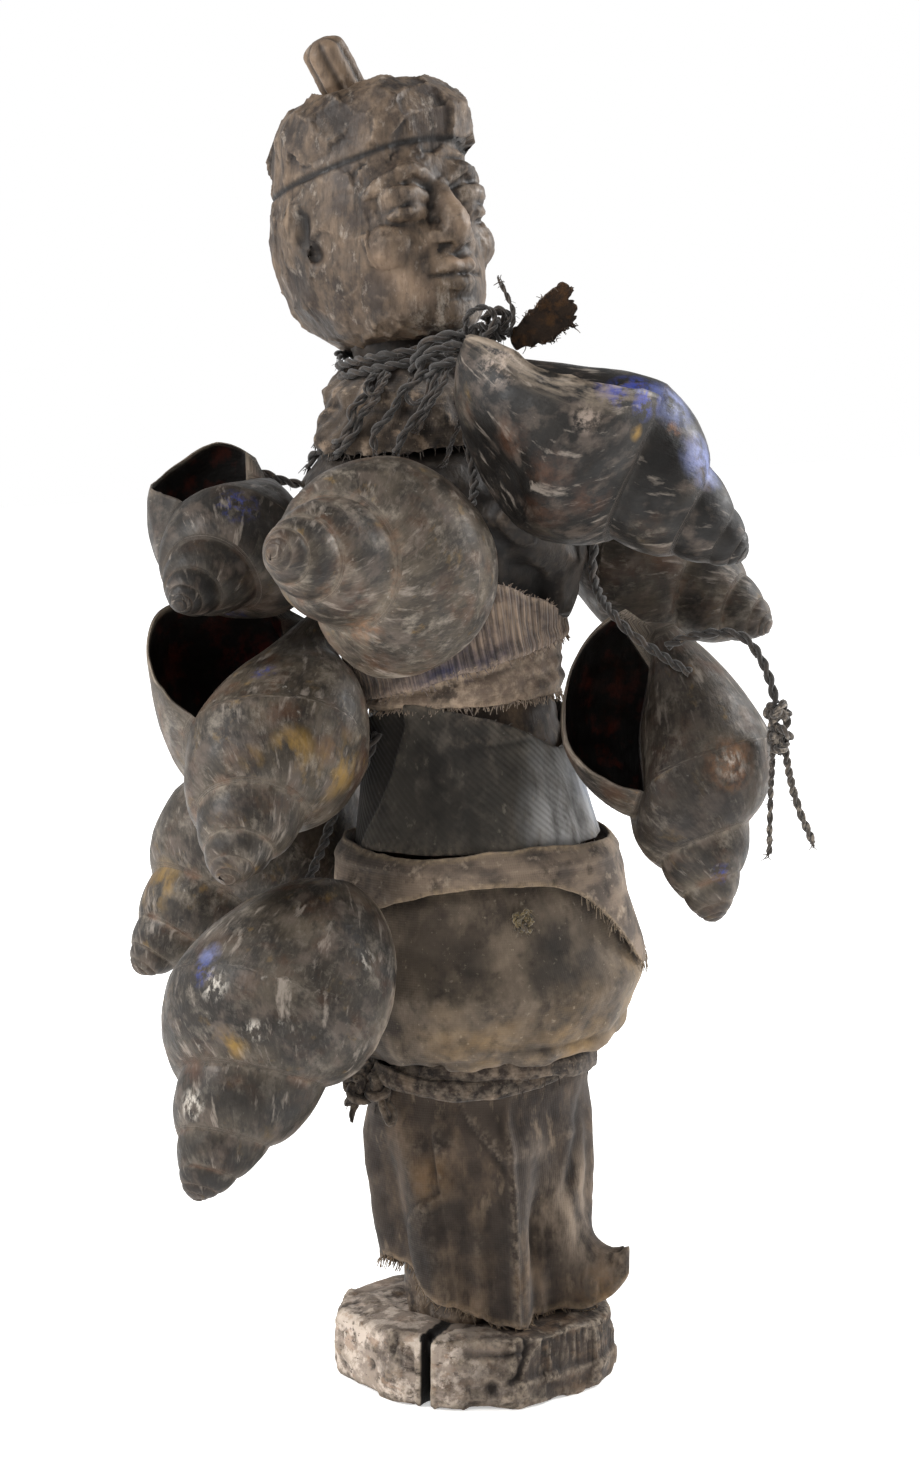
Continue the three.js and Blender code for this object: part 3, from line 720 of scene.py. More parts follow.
def makeTail():
    rope, path = makeCord("tailCord", "tail_cord", tail["route"], 31)
    knot = []
    for k, (place, size, axes) in enumerate(tail["knots"]):
        loop = trefoil(place, size, axes)
        knot += twistedStrands(loop, 3.1, pitch=9, seed=40 + k)
        knot += hairs(loop, 1.2, 14, 50 + k, length=2.5)
    knotPiece = addPiece("tailKnot", "tail_knot", knot, greyCordMaterial)
    for name, node, diameter in (("longEnd", "tail_end_long", 2.3), ("wideEnd", "tail_end_wide", 3.0)):
        line = smoothPath(tail[name], 0.5)
        parts = twistedStrands(line, diameter, pitch=8, seed=61)
        parts += hairs(line, diameter / 2, 34, 62, length=2.4)
        way = (line[-1] - line[-6]) / np.linalg.norm(line[-1] - line[-6])
        parts += frayedEnd(line[-1], way, diameter, 63, 7, 3.5)
        addPiece("tail" + name[0].upper() + name[1:], node, parts, greyCordMaterial)


greyYarn = dict(cordYarn, base="#453d36")
greyYarn["layers"] = [
    coat("#2a2420", 5, 0.45, 0.6, 0.9),
    coat("#9b8f81", 2.6, 0.52, 0.64, 0.75, detail=6),
    coat("#1c1815", 0.7, 0.5, 0.66, 0.8, stretch=(0.3, 1, 1), along=True),
]
greyCordMaterial = layeredMaterial("dustyCottonCord", greyYarn)
makeTail()


neck = {
    "turns": 2,
    # each knotted loop by its centre, size and tilt
    "loops": [((-8, -20, 394), (6, 4.5, 5.5), (0.3, 0.2)), ((-3, -18, 396), (5.5, 4.5, 5.5), (1.2, 1.4)),
              ((-12, -15, 389), (6, 5, 5), (0.8, 2.2)), ((-10, -6, 388), (7, 6, 5), (1.9, 0.6))],
    # strands by their own routes, each with its diameter; those that hang end in a frayed tip
    "hanging": [
        (3.3, [(-12, -15, 386), (-18.5, -11, 383.5), (-23.2, -9.7, 380.0), (-26.4, -12.5, 374.2),
               (-29.6, -12.9, 369.3), (-34.9, -12.2, 362.6), (-38.2, -11.4, 358.4), (-39.8, -8.2, 351.4)]),
        (3.0, [(-14, -14, 384), (-21, -8, 382), (-26.3, -5.6, 379.5), (-32.0, -6.9, 375.4),
               (-35.9, -5.8, 372.6), (-39.7, -6.0, 366.3), (-42.7, -5.4, 362.5), (-45.8, -3.6, 359.2),
               (-46.4, -3.2, 355.6), (-45.3, -2.7, 352.3)]),
        (2.0, [(-8, -15, 382), (-12.2, -13.7, 371.2), (-13.7, -10.6, 362.7), (-16.3, -7.9, 354.7),
               (-19.0, -7.5, 346.8)]),
        (2.4, [(-15, -13, 384), (-21.1, -13.2, 381.2), (-23.2, -15.5, 377.1), (-27.3, -15.4, 371.5),
               (-31.5, -14.1, 364.4), (-32.9, -12.2, 360.0)]),
        (3.6, [(-34, 12, 379), (-38.0, 12.7, 376.6), (-43.3, 7.7, 371.0), (-49.3, 6.5, 366.6),
               (-50.2, 7.1, 360.4), (-52.9, 9.8, 354.9), (-53.6, 19.4, 351.3), (-54.2, 26.7, 348.2),
               (-54.3, 31.3, 343.8)]),
        (3.2, [(-34, 9, 379), (-36.5, 9.5, 375.3), (-41.6, 3.2, 369.4), (-46.5, 4.9, 364.0),
               (-48.8, 5.1, 358.0), (-52.3, 7.1, 352.9), (-53.2, 14.6, 348.4), (-53.0, 21.3, 343.1)]),
        (1.9, [(-8, -19, 396), (-3.9, -23.1, 393.4), (-2.2, -26.5, 396.7), (-1.6, -26.8, 401.4),
               (-2.9, -24.9, 406.3), (-4.6, -22.8, 411.3)]),
    ],
    "looped": [
        (2.2, [(-34.9, 6.3, 378.6), (-39.2, 3.0, 374.4), (-42.8, 3.9, 371.3), (-43.7, 6.8, 374.3),
               (-38.6, 9.6, 377.9)]),
        (2.2, [(-24.8, -2.7, 379.0), (-27.3, -9.6, 374.7), (-29.5, -10.7, 370.6), (-33.0, -8.7, 368.6),
               (-34.5, -6.4, 371.9), (-30.2, -3.3, 377.0)]),
        (3.8, [(-26.4, 3.7, 380.1), (-27.5, -2.6, 386.0), (-26.6, -5.5, 389.3), (-22.1, -9.2, 392.0),
               (-15.7, -14.0, 393.6), (-9.5, -17.6, 393.6)]),
        (3.8, [(-26.2, -1.1, 378.2), (-28.2, -6.8, 384.2), (-25.4, -10.7, 387.2), (-20.4, -13.6, 388.6),
               (-14.8, -16.8, 388.7)]),
        (3.6, [(-25.3, -6.2, 377.6), (-25.8, -12.0, 381.6), (-21.4, -15.3, 383.6), (-16.5, -18.2, 384.2)]),
        (2.4, [(-15.5, -16.5, 394.5), (-16.1, -18.4, 400.0), (-14.4, -21.7, 402.6), (-10.6, -23.9, 402.6),
               (-7.7, -24.4, 399.6), (-8.5, -21.7, 395.6), (-12.1, -20.7, 397.4)]),
        (2.2, [(-9.5, -17.5, 398.5), (-5.5, -21, 402.5), (-1.5, -23.5, 400), (-3.5, -23, 395),
               (-7, -20, 392)]),
    ],
}


def makeNeckCords():
    points = []
    steps = 24 * neck["turns"]
    for i in range(steps + 1):
        angle = math.radians(150 + 360 * neck["turns"] * i / steps)
        z = 378.6 + 4 * neck["turns"] * i / steps + 2 * slant(angle, -30) - 2.5 * slant(angle, 90)
        points.append(bodyPoint(z, angle, -3 + 0.5 * math.sin(5 * angle)))
    makeCord("neckCord", "neck_cord", points, 71, 2.0)
    parts = []
    for k, (place, size, axes) in enumerate(neck["loops"]):
        loop = trefoil(place, size, axes)
        parts += twistedStrands(loop, 3.0, pitch=9, seed=80 + k)
        parts += hairs(loop, 1.4, 40, 90 + k, length=2.4)
    for k, (diameter, route) in enumerate(neck["hanging"] + neck["looped"]):
        line = wavered(smoothPath(route, 0.8), 0.35, 6, 2, 100 + k, 40)
        parts += twistedStrands(line, diameter, pitch=diameter * 4.2, rough=0.25, seed=100 + k)
        parts += hairs(line, diameter * 0.45, int(len(line) * 1.3), 110 + k, length=1.5, radius=0.11)
        if k < len(neck["hanging"]):
            way = (line[-1] - line[-5]) / np.linalg.norm(line[-1] - line[-5])
            parts += frayedEnd(line[-1], way, diameter, 120 + k, 10, diameter * 1.2)
    addPiece("throatKnot", "throat_knot", parts, cordMaterial)


makeNeckCords()


tuft = {
    "thread": 1.8,           # millimetres
    "pitch": 4,
    "loops": [((-9.3, -47.2, 184), (3.8, 2.6, 4.0)), ((-8.7, -47.7, 181.5), (3.2, 2.4, 3.0))],
}


def makeTuft():
    parts = []
    for k, (place, size) in enumerate(tuft["loops"]):
        loop = trefoil(place, size, (0.5 + k, 0.4 + 1.3 * k), 0.3)
        parts += twistedStrands(loop, tuft["thread"], pitch=tuft["pitch"], seed=160 + k)
        parts += hairs(loop, 0.8, 24, 170 + k, length=3.0)
    addPiece("bellyTuft", "belly_tuft", parts, tuftMaterial)


tuftYarn = dict(cordYarn, base="#70603f")
tuftMaterial = layeredMaterial("dustyTuftThread", tuftYarn)
makeTuft()
print("cords made")


# Snail shells: giant African land snail, aragonite under a worn horny skin, smoked and rubbed

shellForm = {
    "turns": 6,
    "stepsPerTurn": 108,
    "upperSteps": 14,
    "lowerSteps": 28,
    "wall": 1.5,             # millimetres
    "mouthDepth": 0.6,       # turns
    "blunt": 0.032,          # of the length, worn off the apex
    "chipDepth": 0.0045,     # turns, at the worn lip
    "growthHeight": 0.14,    # millimetres
}

# each shell by its apex, the way along its axis, the way that its lip faces, and how dark it is;
# a bulge is a place, its reach in millimetres and the push that it gives
shells = {
    "shoulderShell": {
        "node": "shell_shoulder", "length": 132, "tip": (60, -92, 313),
        "along": (-0.64, 0.49, 0.59), "opens": (0.71, 0.11, 0.69), "seed": 1, "dark": 1.0, "lipWidth": 0.06,
        "bulges": [((-30.4, -45.1, 391), 8, (-1, 0.5, -2)), ((-28, -56, 391), 7, (0, 0, -3)),
                   ((-22, -68, 391), 14, (0, 0, -5)), ((-14, -79, 386), 13, (0, 0, -5)),
                   ((20, -78, 376), 22, (1, 0, 5)), ((-33, -53, 352), 15, (5.5, -3.2, 0)),
                   ((-29, -57, 338), 14, (4.5, -2.6, 0))],
    },
    "backShell": {
        "node": "shell_behind_shoulder", "length": 124, "tip": (104, -44, 280),
        "along": (-0.45, 0.82, 0.36), "opens": (-0.80, -0.19, -0.57), "seed": 2, "dark": 0.4,
    },
    "openShell": {
        "node": "shell_open", "length": 123, "tip": (48, -88, 180),
        # the open shell carries painted shade beside its mouth, so that the opening looks wider
        "along": (-0.01, 0.36, 0.93), "opens": (-0.22, -0.91, 0.35), "seed": 3, "dark": 0.35, "paintedMouthShade": 0.5,
        "bulges": [((25.5, -62, 234), 13, (5, -3, -7))],
    },
    "chestShell": {
        "node": "shell_chest", "length": 125, "tip": (-133, -85, 328),
        "along": (0.88, 0.46, -0.11), "opens": (-0.45, 0.89, 0.10), "seed": 4, "dark": 0.1,
    },
    "leftUpperShell": {
        "node": "shell_left_upper", "length": 105, "tip": (-127, -5, 299),
        "along": (0.70, 0.61, 0.36), "opens": (0.05, -0.55, 0.84), "seed": 6, "dark": 0.8,
        "bulges": [((-72, 66, 340), 16, (0, 0, 8)), ((-78, 10, 299), 15, (5, -3, -3))],
    },
    "leftMiddleShell": {
        "node": "shell_left_middle", "length": 130, "tip": (-126, -38, 204),
        "along": (0.54, 0.55, 0.64), "opens": (-0.23, -0.64, 0.74), "seed": 7, "dark": 0.25,
        "bulges": [((-112, 36, 272), 28, (-2, 2, 20)), ((-71.5, -12, 270), 22, (5.2, -3, 4)),
                   ((-68, 24, 284), 15, (6, -3, 8))],
    },
    "leftLowerShell": {
        "node": "shell_left_lower", "length": 120, "tip": (-112, 69, 150),
        "along": (0.71, -0.01, 0.70), "opens": (0.29, 0.91, -0.29), "seed": 8, "dark": 0.3,
    },
    "hipShell": {
        "node": "shell_hip", "length": 132, "tip": (-139, -35, 90),
        "along": (0.52, 0.18, 0.83), "opens": (0.69, 0.48, -0.54), "seed": 9, "dark": 0.5,
    },
}

shellSkin = {
    "thread": True,
    "base": "#41392f",
    "layers": [
        coat("#221d19", 24, 0.45, 0.6, 0.8, detail=6),
        coat("#736758", 18, 0.48, 0.66, 0.65, detail=7, shift=4),
        coat("#5c3a22", 14, 0.52, 0.68, 0.5, detail=6, shift=6),
        # growth lines, dusty on their crests and black between
        coat("#93877a", 0.9, 0.52, 0.72, 0.32, stretch=(1, 0.2, 1), along=True, detail=6),
        coat("#191512", 1.2, 0.52, 0.68, 0.45, stretch=(1, 0.14, 1), along=True, shift=3, detail=5),
        # flecks where the horny skin has flaked off to the chalky shell
        coat("#9a8f81", 6, 0.53, 0.7, 0.75, stretch=(1, 0.5, 1), detail=10, rough=0.7, along=True,
             shift=2),
        coat("#cdc6bb", 5, 0.65, 0.74, 0.6, detail=8, rough=0.68, shift=9),
        coat("#94743a", 7, 0.6, 0.74, 0.6, stretch=(1, 0.5, 1), detail=8, rough=0.66, along=True,
             shift=13),
        # handling has kept the whorls dark and left dust along their edges
        coat("#191614", 15, 0.38, 0.54, 0.75, where="belly", detail=6),
        coat("#8f8272", 3, 0.4, 0.6, 0.5, where="seam", detail=7),
        coat("#7d5236", 9, 0.53, 0.64, 0.4, where="seam", shift=11),
        coat("#3a302a", 5, 0.3, 0.6, 0.6, where="tip"),
        # each shell is darkened by its own dark value; on the shoulder shell, which sits in shade, this is
        # also painted shade
        coat("#0c0a09", 30, 0.2, 0.44, 0.94, where="dark", detail=6),
        # scuffs and thin dirt over the dark glaze
        coat("#5f534a", 8, 0.52, 0.64, 0.5, stretch=(1, 0.5, 1), detail=11, along=True, shift=17),
        coat("#9c9186", 2.4, 0.58, 0.69, 0.5, stretch=(1, 0.16, 1), along=True, detail=9, shift=19),
        coat("#0f0d0b", 4, 0.58, 0.7, 0.6, stretch=(1, 0.4, 1), along=True, detail=9, shift=23),
        # ochre, indigo and chalk that were rubbed or splashed on
        coat("#8f6f30", 6, 0.44, 0.6, 0.7, stretch=(1, 0.4, 1), detail=8, along=True,
             spots=[((-95.7, -34.5, 251.9), 10), ((-76, -33, 243), 15), ((-113, -34.4, 250), 8),
                    ((-100, 65, 186), 12), ((9.9, -90, 362.5), 4), ((-126, -45, 152), 8)]),
        coat("#30419a", 6, 0.45, 0.56, 0.8, detail=9, rough=0.72,
             spots=[((5, -78, 382), 13), ((18, -78, 376), 13), ((14, -90, 374), 9), ((0, -91, 378), 8)]),
        coat("#2b3a80", 3, 0.48, 0.62, 0.7, detail=9, rough=0.7,
             spots=[((-95.5, 7.6, 333.7), 9), ((-91, 21, 294), 6), ((-130, -32, 175), 7),
                    ((46.5, -92.5, 203), 5), ((-94, -8, 276), 6), ((-92, -40, 236), 5)]),
        coat("#8590c6", 9, 0.4, 0.58, 0.65, detail=8, rough=0.7,
             spots=[((31, -79, 369), 13), ((38, -88, 352), 12), ((42, -87, 347), 9),
                    ((-125, -30, 178), 7)]),
        coat("#9c6a44", 4, 0.42, 0.62, 0.6, detail=8, rough=0.68,
             spots=[((48, -95, 243), 12), ((-109, -87, 309), 8), ((-84, -66, 300), 10),
                    ((27.4, -86.7, 361.8), 4)]),
        coat("#cfc7bb", 3, 0.48, 0.6, 0.75, stretch=(1, 1, 0.5), detail=8, rough=0.68,
             spots=[((-129.7, -39, 171.4), 7), ((-121, -52.6, 157), 5), ((-78.9, -55.2, 177.8), 5),
                    ((-137.8, -34.6, 128.4), 7), ((48, -95, 243), 7)]),
        coat("#a8978a", 5, 0.47, 0.58, 0.7, detail=9, rough=0.68,
             spots=[((-28.5, -63, 387), 13), ((-10, -90, 368), 7), ((-96, -70, 330), 16),
                    ((-60, -60, 340), 16)]),
        coat("#4d3222", 6, 0.4, 0.6, 0.6, detail=8, rough=0.66,
             spots=[((-29.5, -70.5, 360.6), 10), ((-19.3, -81.3, 349.9), 10), ((-4.4, -83, 338.9), 10),
                    ((-15.6, -71.8, 334.2), 10), ((-134.6, -28.4, 139.3), 9),
                    ((-95.6, -83.3, 309.6), 9)]),
        # inside, the mouth is painted near-black as shade, and lacquered dark red by old offerings
        coat("#0d0907", 5, 0.1, 0.2, where="inside"),
        coat("#43190f", 10, 0.54, 0.68, 0.7, where="inside", detail=6),
        coat("#7d1d0e", 5, 0.42, 0.6, 0.9, where="inside", detail=6,
             spots=[((-80, 20, 272), 26), ((-74, 30, 268), 22)]),
        # painted shade, near-black, beside the open shell's mouth so that the opening looks wider
        coat("#17100d", 6, 0.1, 0.35, 0.9, where="paintedMouthShade"),
        coat("#4a2416", 4, 0.46, 0.62, 0.6, where="inside", detail=7, spots=[((44, -37, 263), 17)]),
        coat("#9c8d7c", 2.2, 0.4, 0.6, 0.75, stretch=(1, 0.12, 1), where="lip", along=True, detail=5),
    ],
    "roughness": (0.4, 0.68, 7),
    "bumps": [
        {"size": 1.1, "stretch": (1, 0.12, 1), "height": 0.16, "along": True, "detail": 4},
        {"size": 2.6, "height": 0.25, "detail": 8},
    ],
    "specular": 0.3,
}


def seamHeight(u):
    # how far down the shell's axis the seam lies at turn u, as a share of the length; the lip is at turn 0
    return np.where(u <= 0, 0.43 * 1.85 ** np.minimum(u, 0), 0.43 + 0.265 * u - 0.06 * u * u)


def seamRadius(u):
    return np.where(u <= 0, 0.375 * seamHeight(u) ** 0.74, 0.2008 + 0.165 * u - 0.021 * u * u)


def hermite(p, pSlope, q, qSlope, s):
    # a curve from p to q with the slopes given at its ends
    a = 2 * s ** 3 - 3 * s ** 2 + 1
    b = s ** 3 - 2 * s ** 2 + s
    c = -2 * s ** 3 + 3 * s ** 2
    d = s ** 3 - s ** 2
    return a * p + b * pSlope + c * q + d * qSlope


def upperWhorl(u, s):
    # radius and height of the whorl's shoulder, from seam to seam
    r0, z0, r1, z1 = seamRadius(u), seamHeight(u), seamRadius(u + 1), seamHeight(u + 1)
    chord = np.hypot(r1 - r0, z1 - z0)
    full = smoothStep(-1.9, -0.5, u)
    return (hermite(r0, (0.72 + 0.24 * full) * chord, r1, (0.16 - 0.1 * full) * chord, s),
            hermite(z0, (0.78 - 0.22 * full) * chord, z1, 0.97 * chord, s))


def lowerWhorl(u, s):
    # the rest of the whorl, from the seam down to the axis
    q = np.clip(u + 1, 0, 1)
    r0, z0, r1, z1 = seamRadius(u + 1), seamHeight(u + 1), 0.03 + 0.05 * q, 0.84 + 0.155 * q ** 0.8
    chord = np.hypot(r1 - r0, z1 - z0)
    return (hermite(r0, (-0.3 + 0.28 * q) * chord, r1, (-0.3 - 0.9 * q) * chord, s),
            hermite(z0, (0.9 + 0.1 * q) * chord, z1, (1 - 0.7 * q) * chord, s))


def offsetCurve(curve, u, s, out):
    # the curve moved out across itself
    r, z = curve(u, s)
    r1, z1 = curve(u, s + 0.004)
    length = np.maximum(np.hypot(r1 - r, z1 - z), 1e-9)
    return r + out * (z1 - z) / length, z - out * (r1 - r) / length


def shellMesh(form, length, seed):
    # a shell one unit long with its apex at the origin, and its values for the material
    n, nu, nl = form["stepsPerTurn"], form["upperSteps"], form["lowerSteps"]
    leanSteps = n // 12
    lean = leanSteps / n
    wall = form["wall"] / length
    count = form["turns"] * n

    def chip(across):
        # how far the broken lip runs back, zero where it joins the whorl and at the foot
        p = np.stack([across * 9, np.full_like(across, seed * 7.3), np.zeros_like(across)], axis=1)
        rough = np.abs(valueNoise(p, 1.0, seed)) + 0.3 * np.abs(valueNoise(p, 0.22, seed + 5))
        return form["chipDepth"] * rough * smoothStep(0, 0.12, across) * smoothStep(1.0, 0.85, across)

    def pulled(u, across):
        return u - chip(across) * smoothStep(-0.10, 0.0, u)

    def point(r, z, u):
        angle = 2 * np.pi * u
        return np.stack([r * np.cos(angle), r * np.sin(angle), z], axis=1)

    verts = []
    lists = {}

    def put(points, u, width, inside, seam=0.0, belly=0.0):
        start = sum(len(v) for v in verts)
        verts.append(points)
        # length round the whorl up to here, in metres: the whorl's radius grows 1.85 ** 0.74 a turn
        along = 0.62 * 1.577 ** np.clip(u, -6, 0) * length * 4.6 * mm
        for key, numbers in (("along", along), ("across", width * length * mm), ("inside", inside),
                             ("seam", seam), ("belly", belly), ("turn", u)):
            lists.setdefault(key, []).append(np.zeros(len(points)) + numbers)
        return list(range(start, start + len(points)))

    # the outside, a row across the whorl at each step
    rows = {}
    sUpper = np.arange(nu + 1) / nu
    sLower = np.arange(1, nl + 1) / nl
    for i in range(-count, 1):
        u = np.full(nu + 1, i / n)
        u = pulled(u, sUpper * 0.4)
        leaning = u + lean * (1 - sUpper) ** 1.6
        r, z = upperWhorl(leaning, sUpper)
        points = point(r, z, leaning)
        first = 0
        row = []
        shared = i - n + leanSteps
        if shared in rows:
            first = 1
            row = [rows[shared][nu]]
        near = np.exp(-(sUpper / 0.1) ** 2)
        if i < -n:
            near = np.maximum(near, np.exp(-((1 - sUpper) / 0.08) ** 2))
        middle = np.sin(np.pi * sUpper) ** 1.5 * (1 - 0.5 * smoothStep(-1.2, -0.8, i / n))
        row += put(points[first:], u[first:], sUpper[first:] * 0.42 * 1.85 ** (i / n), False, near[first:],
                   middle[first:])
        if i >= -n:
            u = pulled(np.full(nl, i / n), 0.4 + 0.6 * sLower)
            r, z = lowerWhorl(u, sLower)
            row += put(point(r, z, u), u, 0.42 + 0.55 * sLower, False)
        rows[i] = row
    faces = []
    for i in range(-count, 0):
        here, ahead = rows[i], rows[i + 1]
        for j in range(min(len(here), len(ahead)) - 1):
            faces.append((here[j], here[j + 1], ahead[j + 1], ahead[j]))
    # the rounded tip of the spire
    tip = put(np.array([[0, 0, float(seamHeight(-float(form["turns"]))) * 0.5]]),
              np.array([-float(form["turns"])]), np.array([0.0]), False)[0]
    rim = [rows[-count + k][0] for k in range(n)] + rows[-count][1:][::-1]
    for j in range(len(rim)):
        faces.append((tip, rim[j], rim[(j + 1) % len(rim)]))
    # the foot, where the last turn closes on the axis
    end = put(np.array([[0, 0, 0.92]]), np.array([-0.5]), np.array([1.0]), False)[0]
    for i in range(-n, 0):
        faces.append((rows[i][-1], end, rows[i + 1][-1]))

    # the mouth's edge: lip, foot, then back up the whorl that the lip runs over
    outer = rows[0] + [end] + rows[-n][nu:][::-1] + [rows[-n + k][nu] for k in range(1, leanSteps)]

    def innerLoop(u0, thin=1.0):
        s = 0.12 + 0.86 * sUpper
        u = pulled(np.full(nu + 1, u0), s * 0.4)
        leaning = u + lean * (1 - s) ** 1.6
        r, z = offsetCurve(upperWhorl, leaning, s, -wall * thin)
        shoulder = point(r, z, leaning)
        s = 0.93 * sLower
        u = pulled(np.full(nl, u0), 0.4 + 0.6 * s)
        r, z = offsetCurve(lowerWhorl, u, s, -wall * thin)
        side = point(r, z, u)
        s = 0.05 + 0.88 * np.arange(nl, -1, -1) / nl
        r, z = offsetCurve(lowerWhorl, np.full(nl + 1, u0 - 1.0), s, wall * 0.35)
        back = point(r, z, np.full(nl + 1, u0))
        foot = (side[-1:] + back[:1]) / 2
        t = np.arange(1, leanSteps)[:, None] / leanSteps
        seam = back[-1:] * (1 - t) + shoulder[:1] * t
        return np.concatenate([shoulder, side, foot, back, seam])

    depth = int(form["mouthDepth"] * n)
    loops = [outer]
    for i in range(depth + 1):
        u0 = -i / n
        ring = innerLoop(u0, 0.6 + 0.4 * min(1, i / 10))
        width = np.linspace(0, 1, len(ring))
        loops.append(put(ring, np.full(len(ring), u0), width, True))
    for a, b in zip(loops, loops[1:]):
        for j in range(len(a)):
            k = (j + 1) % len(a)
            faces.append((a[j], a[k], b[k], b[j]))
    last = loops[-1]
    heart = put(np.concatenate(verts)[last].mean(axis=0)[None], np.array([-1.0]), np.array([0.5]), True)[0]
    for j in range(len(last)):
        faces.append((last[j], heart, last[(j + 1) % len(last)]))
    values = {key: np.concatenate(numbers) for key, numbers in lists.items()}
    verts = np.concatenate(verts)
    values["tip"] = 1 - smoothStep(0.05, 0.14, verts[:, 2])
    # the apex is worn blunt
    verts[:, 2] += form["blunt"] * np.clip(1 - verts[:, 2] / 0.11, 0, 1) ** 2
    return verts, faces, values


def makeShell(name, spec, material):
    verts, faces, values = shellMesh(shellForm, spec["length"], spec["seed"])
    axis = Vector(spec["along"]).normalized()
    growth = Vector(spec["opens"])
    growth = (growth - axis * growth.dot(axis)).normalized()
    side = growth.cross(axis)
    basis = np.array([side, growth, axis])
    placed = verts @ basis * spec["length"] + np.array(spec["tip"])
    normals = meshNormals(placed, faces)
    # make the normals point outwards at the spire
    away = verts - np.array([0, 0, 0.4])
    if (normals * (away @ basis)).sum() < 0:
        normals = -normals
        faces = [f[::-1] for f in faces]
    outside = 1 - values["inside"]
    lines = np.stack([values["along"] * 1000, values["across"] * 1000 * 0.05,
                      np.full(len(placed), spec["seed"] * 31.0)], axis=1)
    growthLines = layeredNoise(lines, 3.2, 3, spec["seed"]) * shellForm["growthHeight"]
    dents = layeredNoise(placed, 14, 3, spec["seed"]) * 0.35
    placed = placed + normals * ((growthLines + dents) * outside)[:, None]
    for centre, reach, push in spec.get("bulges", []):
        away = np.linalg.norm(placed - np.array(centre), axis=1) / reach
        placed = placed + np.exp(-away ** 2)[:, None] * np.array(push)
    values["dark"] = np.full(len(placed), spec["dark"])
    turn = values.pop("turn")
    values["lip"] = np.where(outside > 0, smoothStep(-spec.get("lipWidth", 0.016), -0.001, turn),
                             smoothStep(-0.012, 0.0, turn) * (values["across"] < 0.58 * spec["length"] * mm))
    values["lip"] *= 0.15 + 0.85 * smoothStep(0.1, 0.36, values["across"] / spec["length"] / mm)
    # painted shade on the last whorl just beside the mouth
    values["paintedMouthShade"] = spec.get("paintedMouthShade", 0) * smoothStep(-0.6, -0.78, turn) * (turn > -1.001) * outside
    rideRoot(addMesh(name, placed, faces, material, values), [spec["node"]])


shellMaterial = layeredMaterial("smokedSnailShell", shellSkin)
for shellName, shellSpec in shells.items():
    makeShell(shellName, shellSpec, shellMaterial)
print("shells made:", len(shells))


# The carved wood: hardwood cut with an adze and knife, oiled, smoked and handled until it is nearly black

woodSkin = {
    "base": "#382e27",
    "layers": [
        coat("#221c18", 26, 0.44, 0.6, 0.75, detail=6),
        coat("#75624f", 13, 0.44, 0.66, 0.75, stretch=(1, 1, 0.65), detail=9, rough=0.66),
        coat("#191512", 3.2, 0.53, 0.68, 0.7, stretch=(1, 1, 0.2), detail=6),
        coat("#a2978b", 6, 0.57, 0.68, 0.5, stretch=(1, 1, 0.6), detail=11, rough=0.7),
        # painted shade in the hollows
        coat("#14100e", 3, 0.2, 0.4, 0.85, where="hollow"),
        coat("#8d7b69", 3, 0.42, 0.66, 0.55, where="raised", detail=8),
        # painted shade under the cap's brim, in the ears, along the lids and beside the nose, dirt in the
        # cracks, and darker down the peg's flutes
        coat("#15110f", 1.5, 0.2, 0.3, where="grimeAndPaintedShade"),
        coat("#98806a", 1.5, 0.2, 0.4, 0.6, where="rubbed"),
        coat("#151312", 22, 0.15, 0.4, 0.9, where="dark"),
        coat("#b5aa9c", 4, 0.5, 0.62, 0.6, stretch=(1, 1, 0.5), detail=9, rough=0.72,
             spots=[((-15, 2, 400), 16)]),
        coat("#27366f", 2, 0.4, 0.6, spots=[((-15, 6, 406), 4)]),
    ],
    "roughness": (0.42, 0.75, 14),
    "bumps": [
        {"size": 1.6, "stretch": (1, 1, 0.16), "height": 0.3, "detail": 5},
        {"size": 5, "height": 0.4, "detail": 5},
    ],
    "specular": 0.3,
}

basePaint = {
    "base": "#3a2f27",
    "layers": [
        coat("#1d1814", 14, 0.46, 0.6, 0.75, stretch=(1, 1, 1.6)),
        coat("#64503e", 6, 0.5, 0.64, 0.7, stretch=(0.7, 0.7, 1.3), detail=6),
        coat("#8a7c6c", 4, 0.58, 0.68, 0.6, stretch=(0.8, 0.8, 0.5), detail=8, shift=7),
        coat("#94867a", 15, 0.4, 0.52, 0.95, stretch=(0.8, 0.8, 1.3), detail=10, rough=0.68,
             where="paint"),
        coat("#cbbcae", 9, 0.49, 0.57, 0.85, detail=9, rough=0.68, where="paint", shift=3),
        coat("#8a6f5a", 7, 0.57, 0.64, 0.6, stretch=(0.8, 0.8, 1.5), detail=7, where="paint", shift=5),
        coat("#2c231c", 2.6, 0.58, 0.64, 0.85, stretch=(0.6, 0.6, 1.3), detail=9, rough=0.7,
             where="paint"),
        coat("#342b25", 9, 0.4, 0.52, 0.92, stretch=(0.8, 0.8, 0.6), detail=10,
             spots=[((-14, -48, 14), 24), ((4, -50, 12), 22), ((-48, -18, 20), 13), ((-36, -30, 9), 12)]),
        # painted shade in the hollows
        coat("#14100e", 3, 0.2, 0.4, 0.8, where="hollow"),
        coat("#9a8c7b", 2, 0.36, 0.6, 0.6, where="raised", detail=6),
        # painted shade inside the base's split and holes, with dirt in its cracks
        coat("#120e0c", 1.5, 0.2, 0.3, where="grimeAndPaintedShade"),
    ],
    "roughness": (0.6, 0.9, 10),
    "bumps": [
        {"size": 1.4, "stretch": (1, 1, 0.15), "height": 0.35, "detail": 5},
        {"size": 6, "height": 0.7, "detail": 8},
    ],
    "specular": 0.3,
}

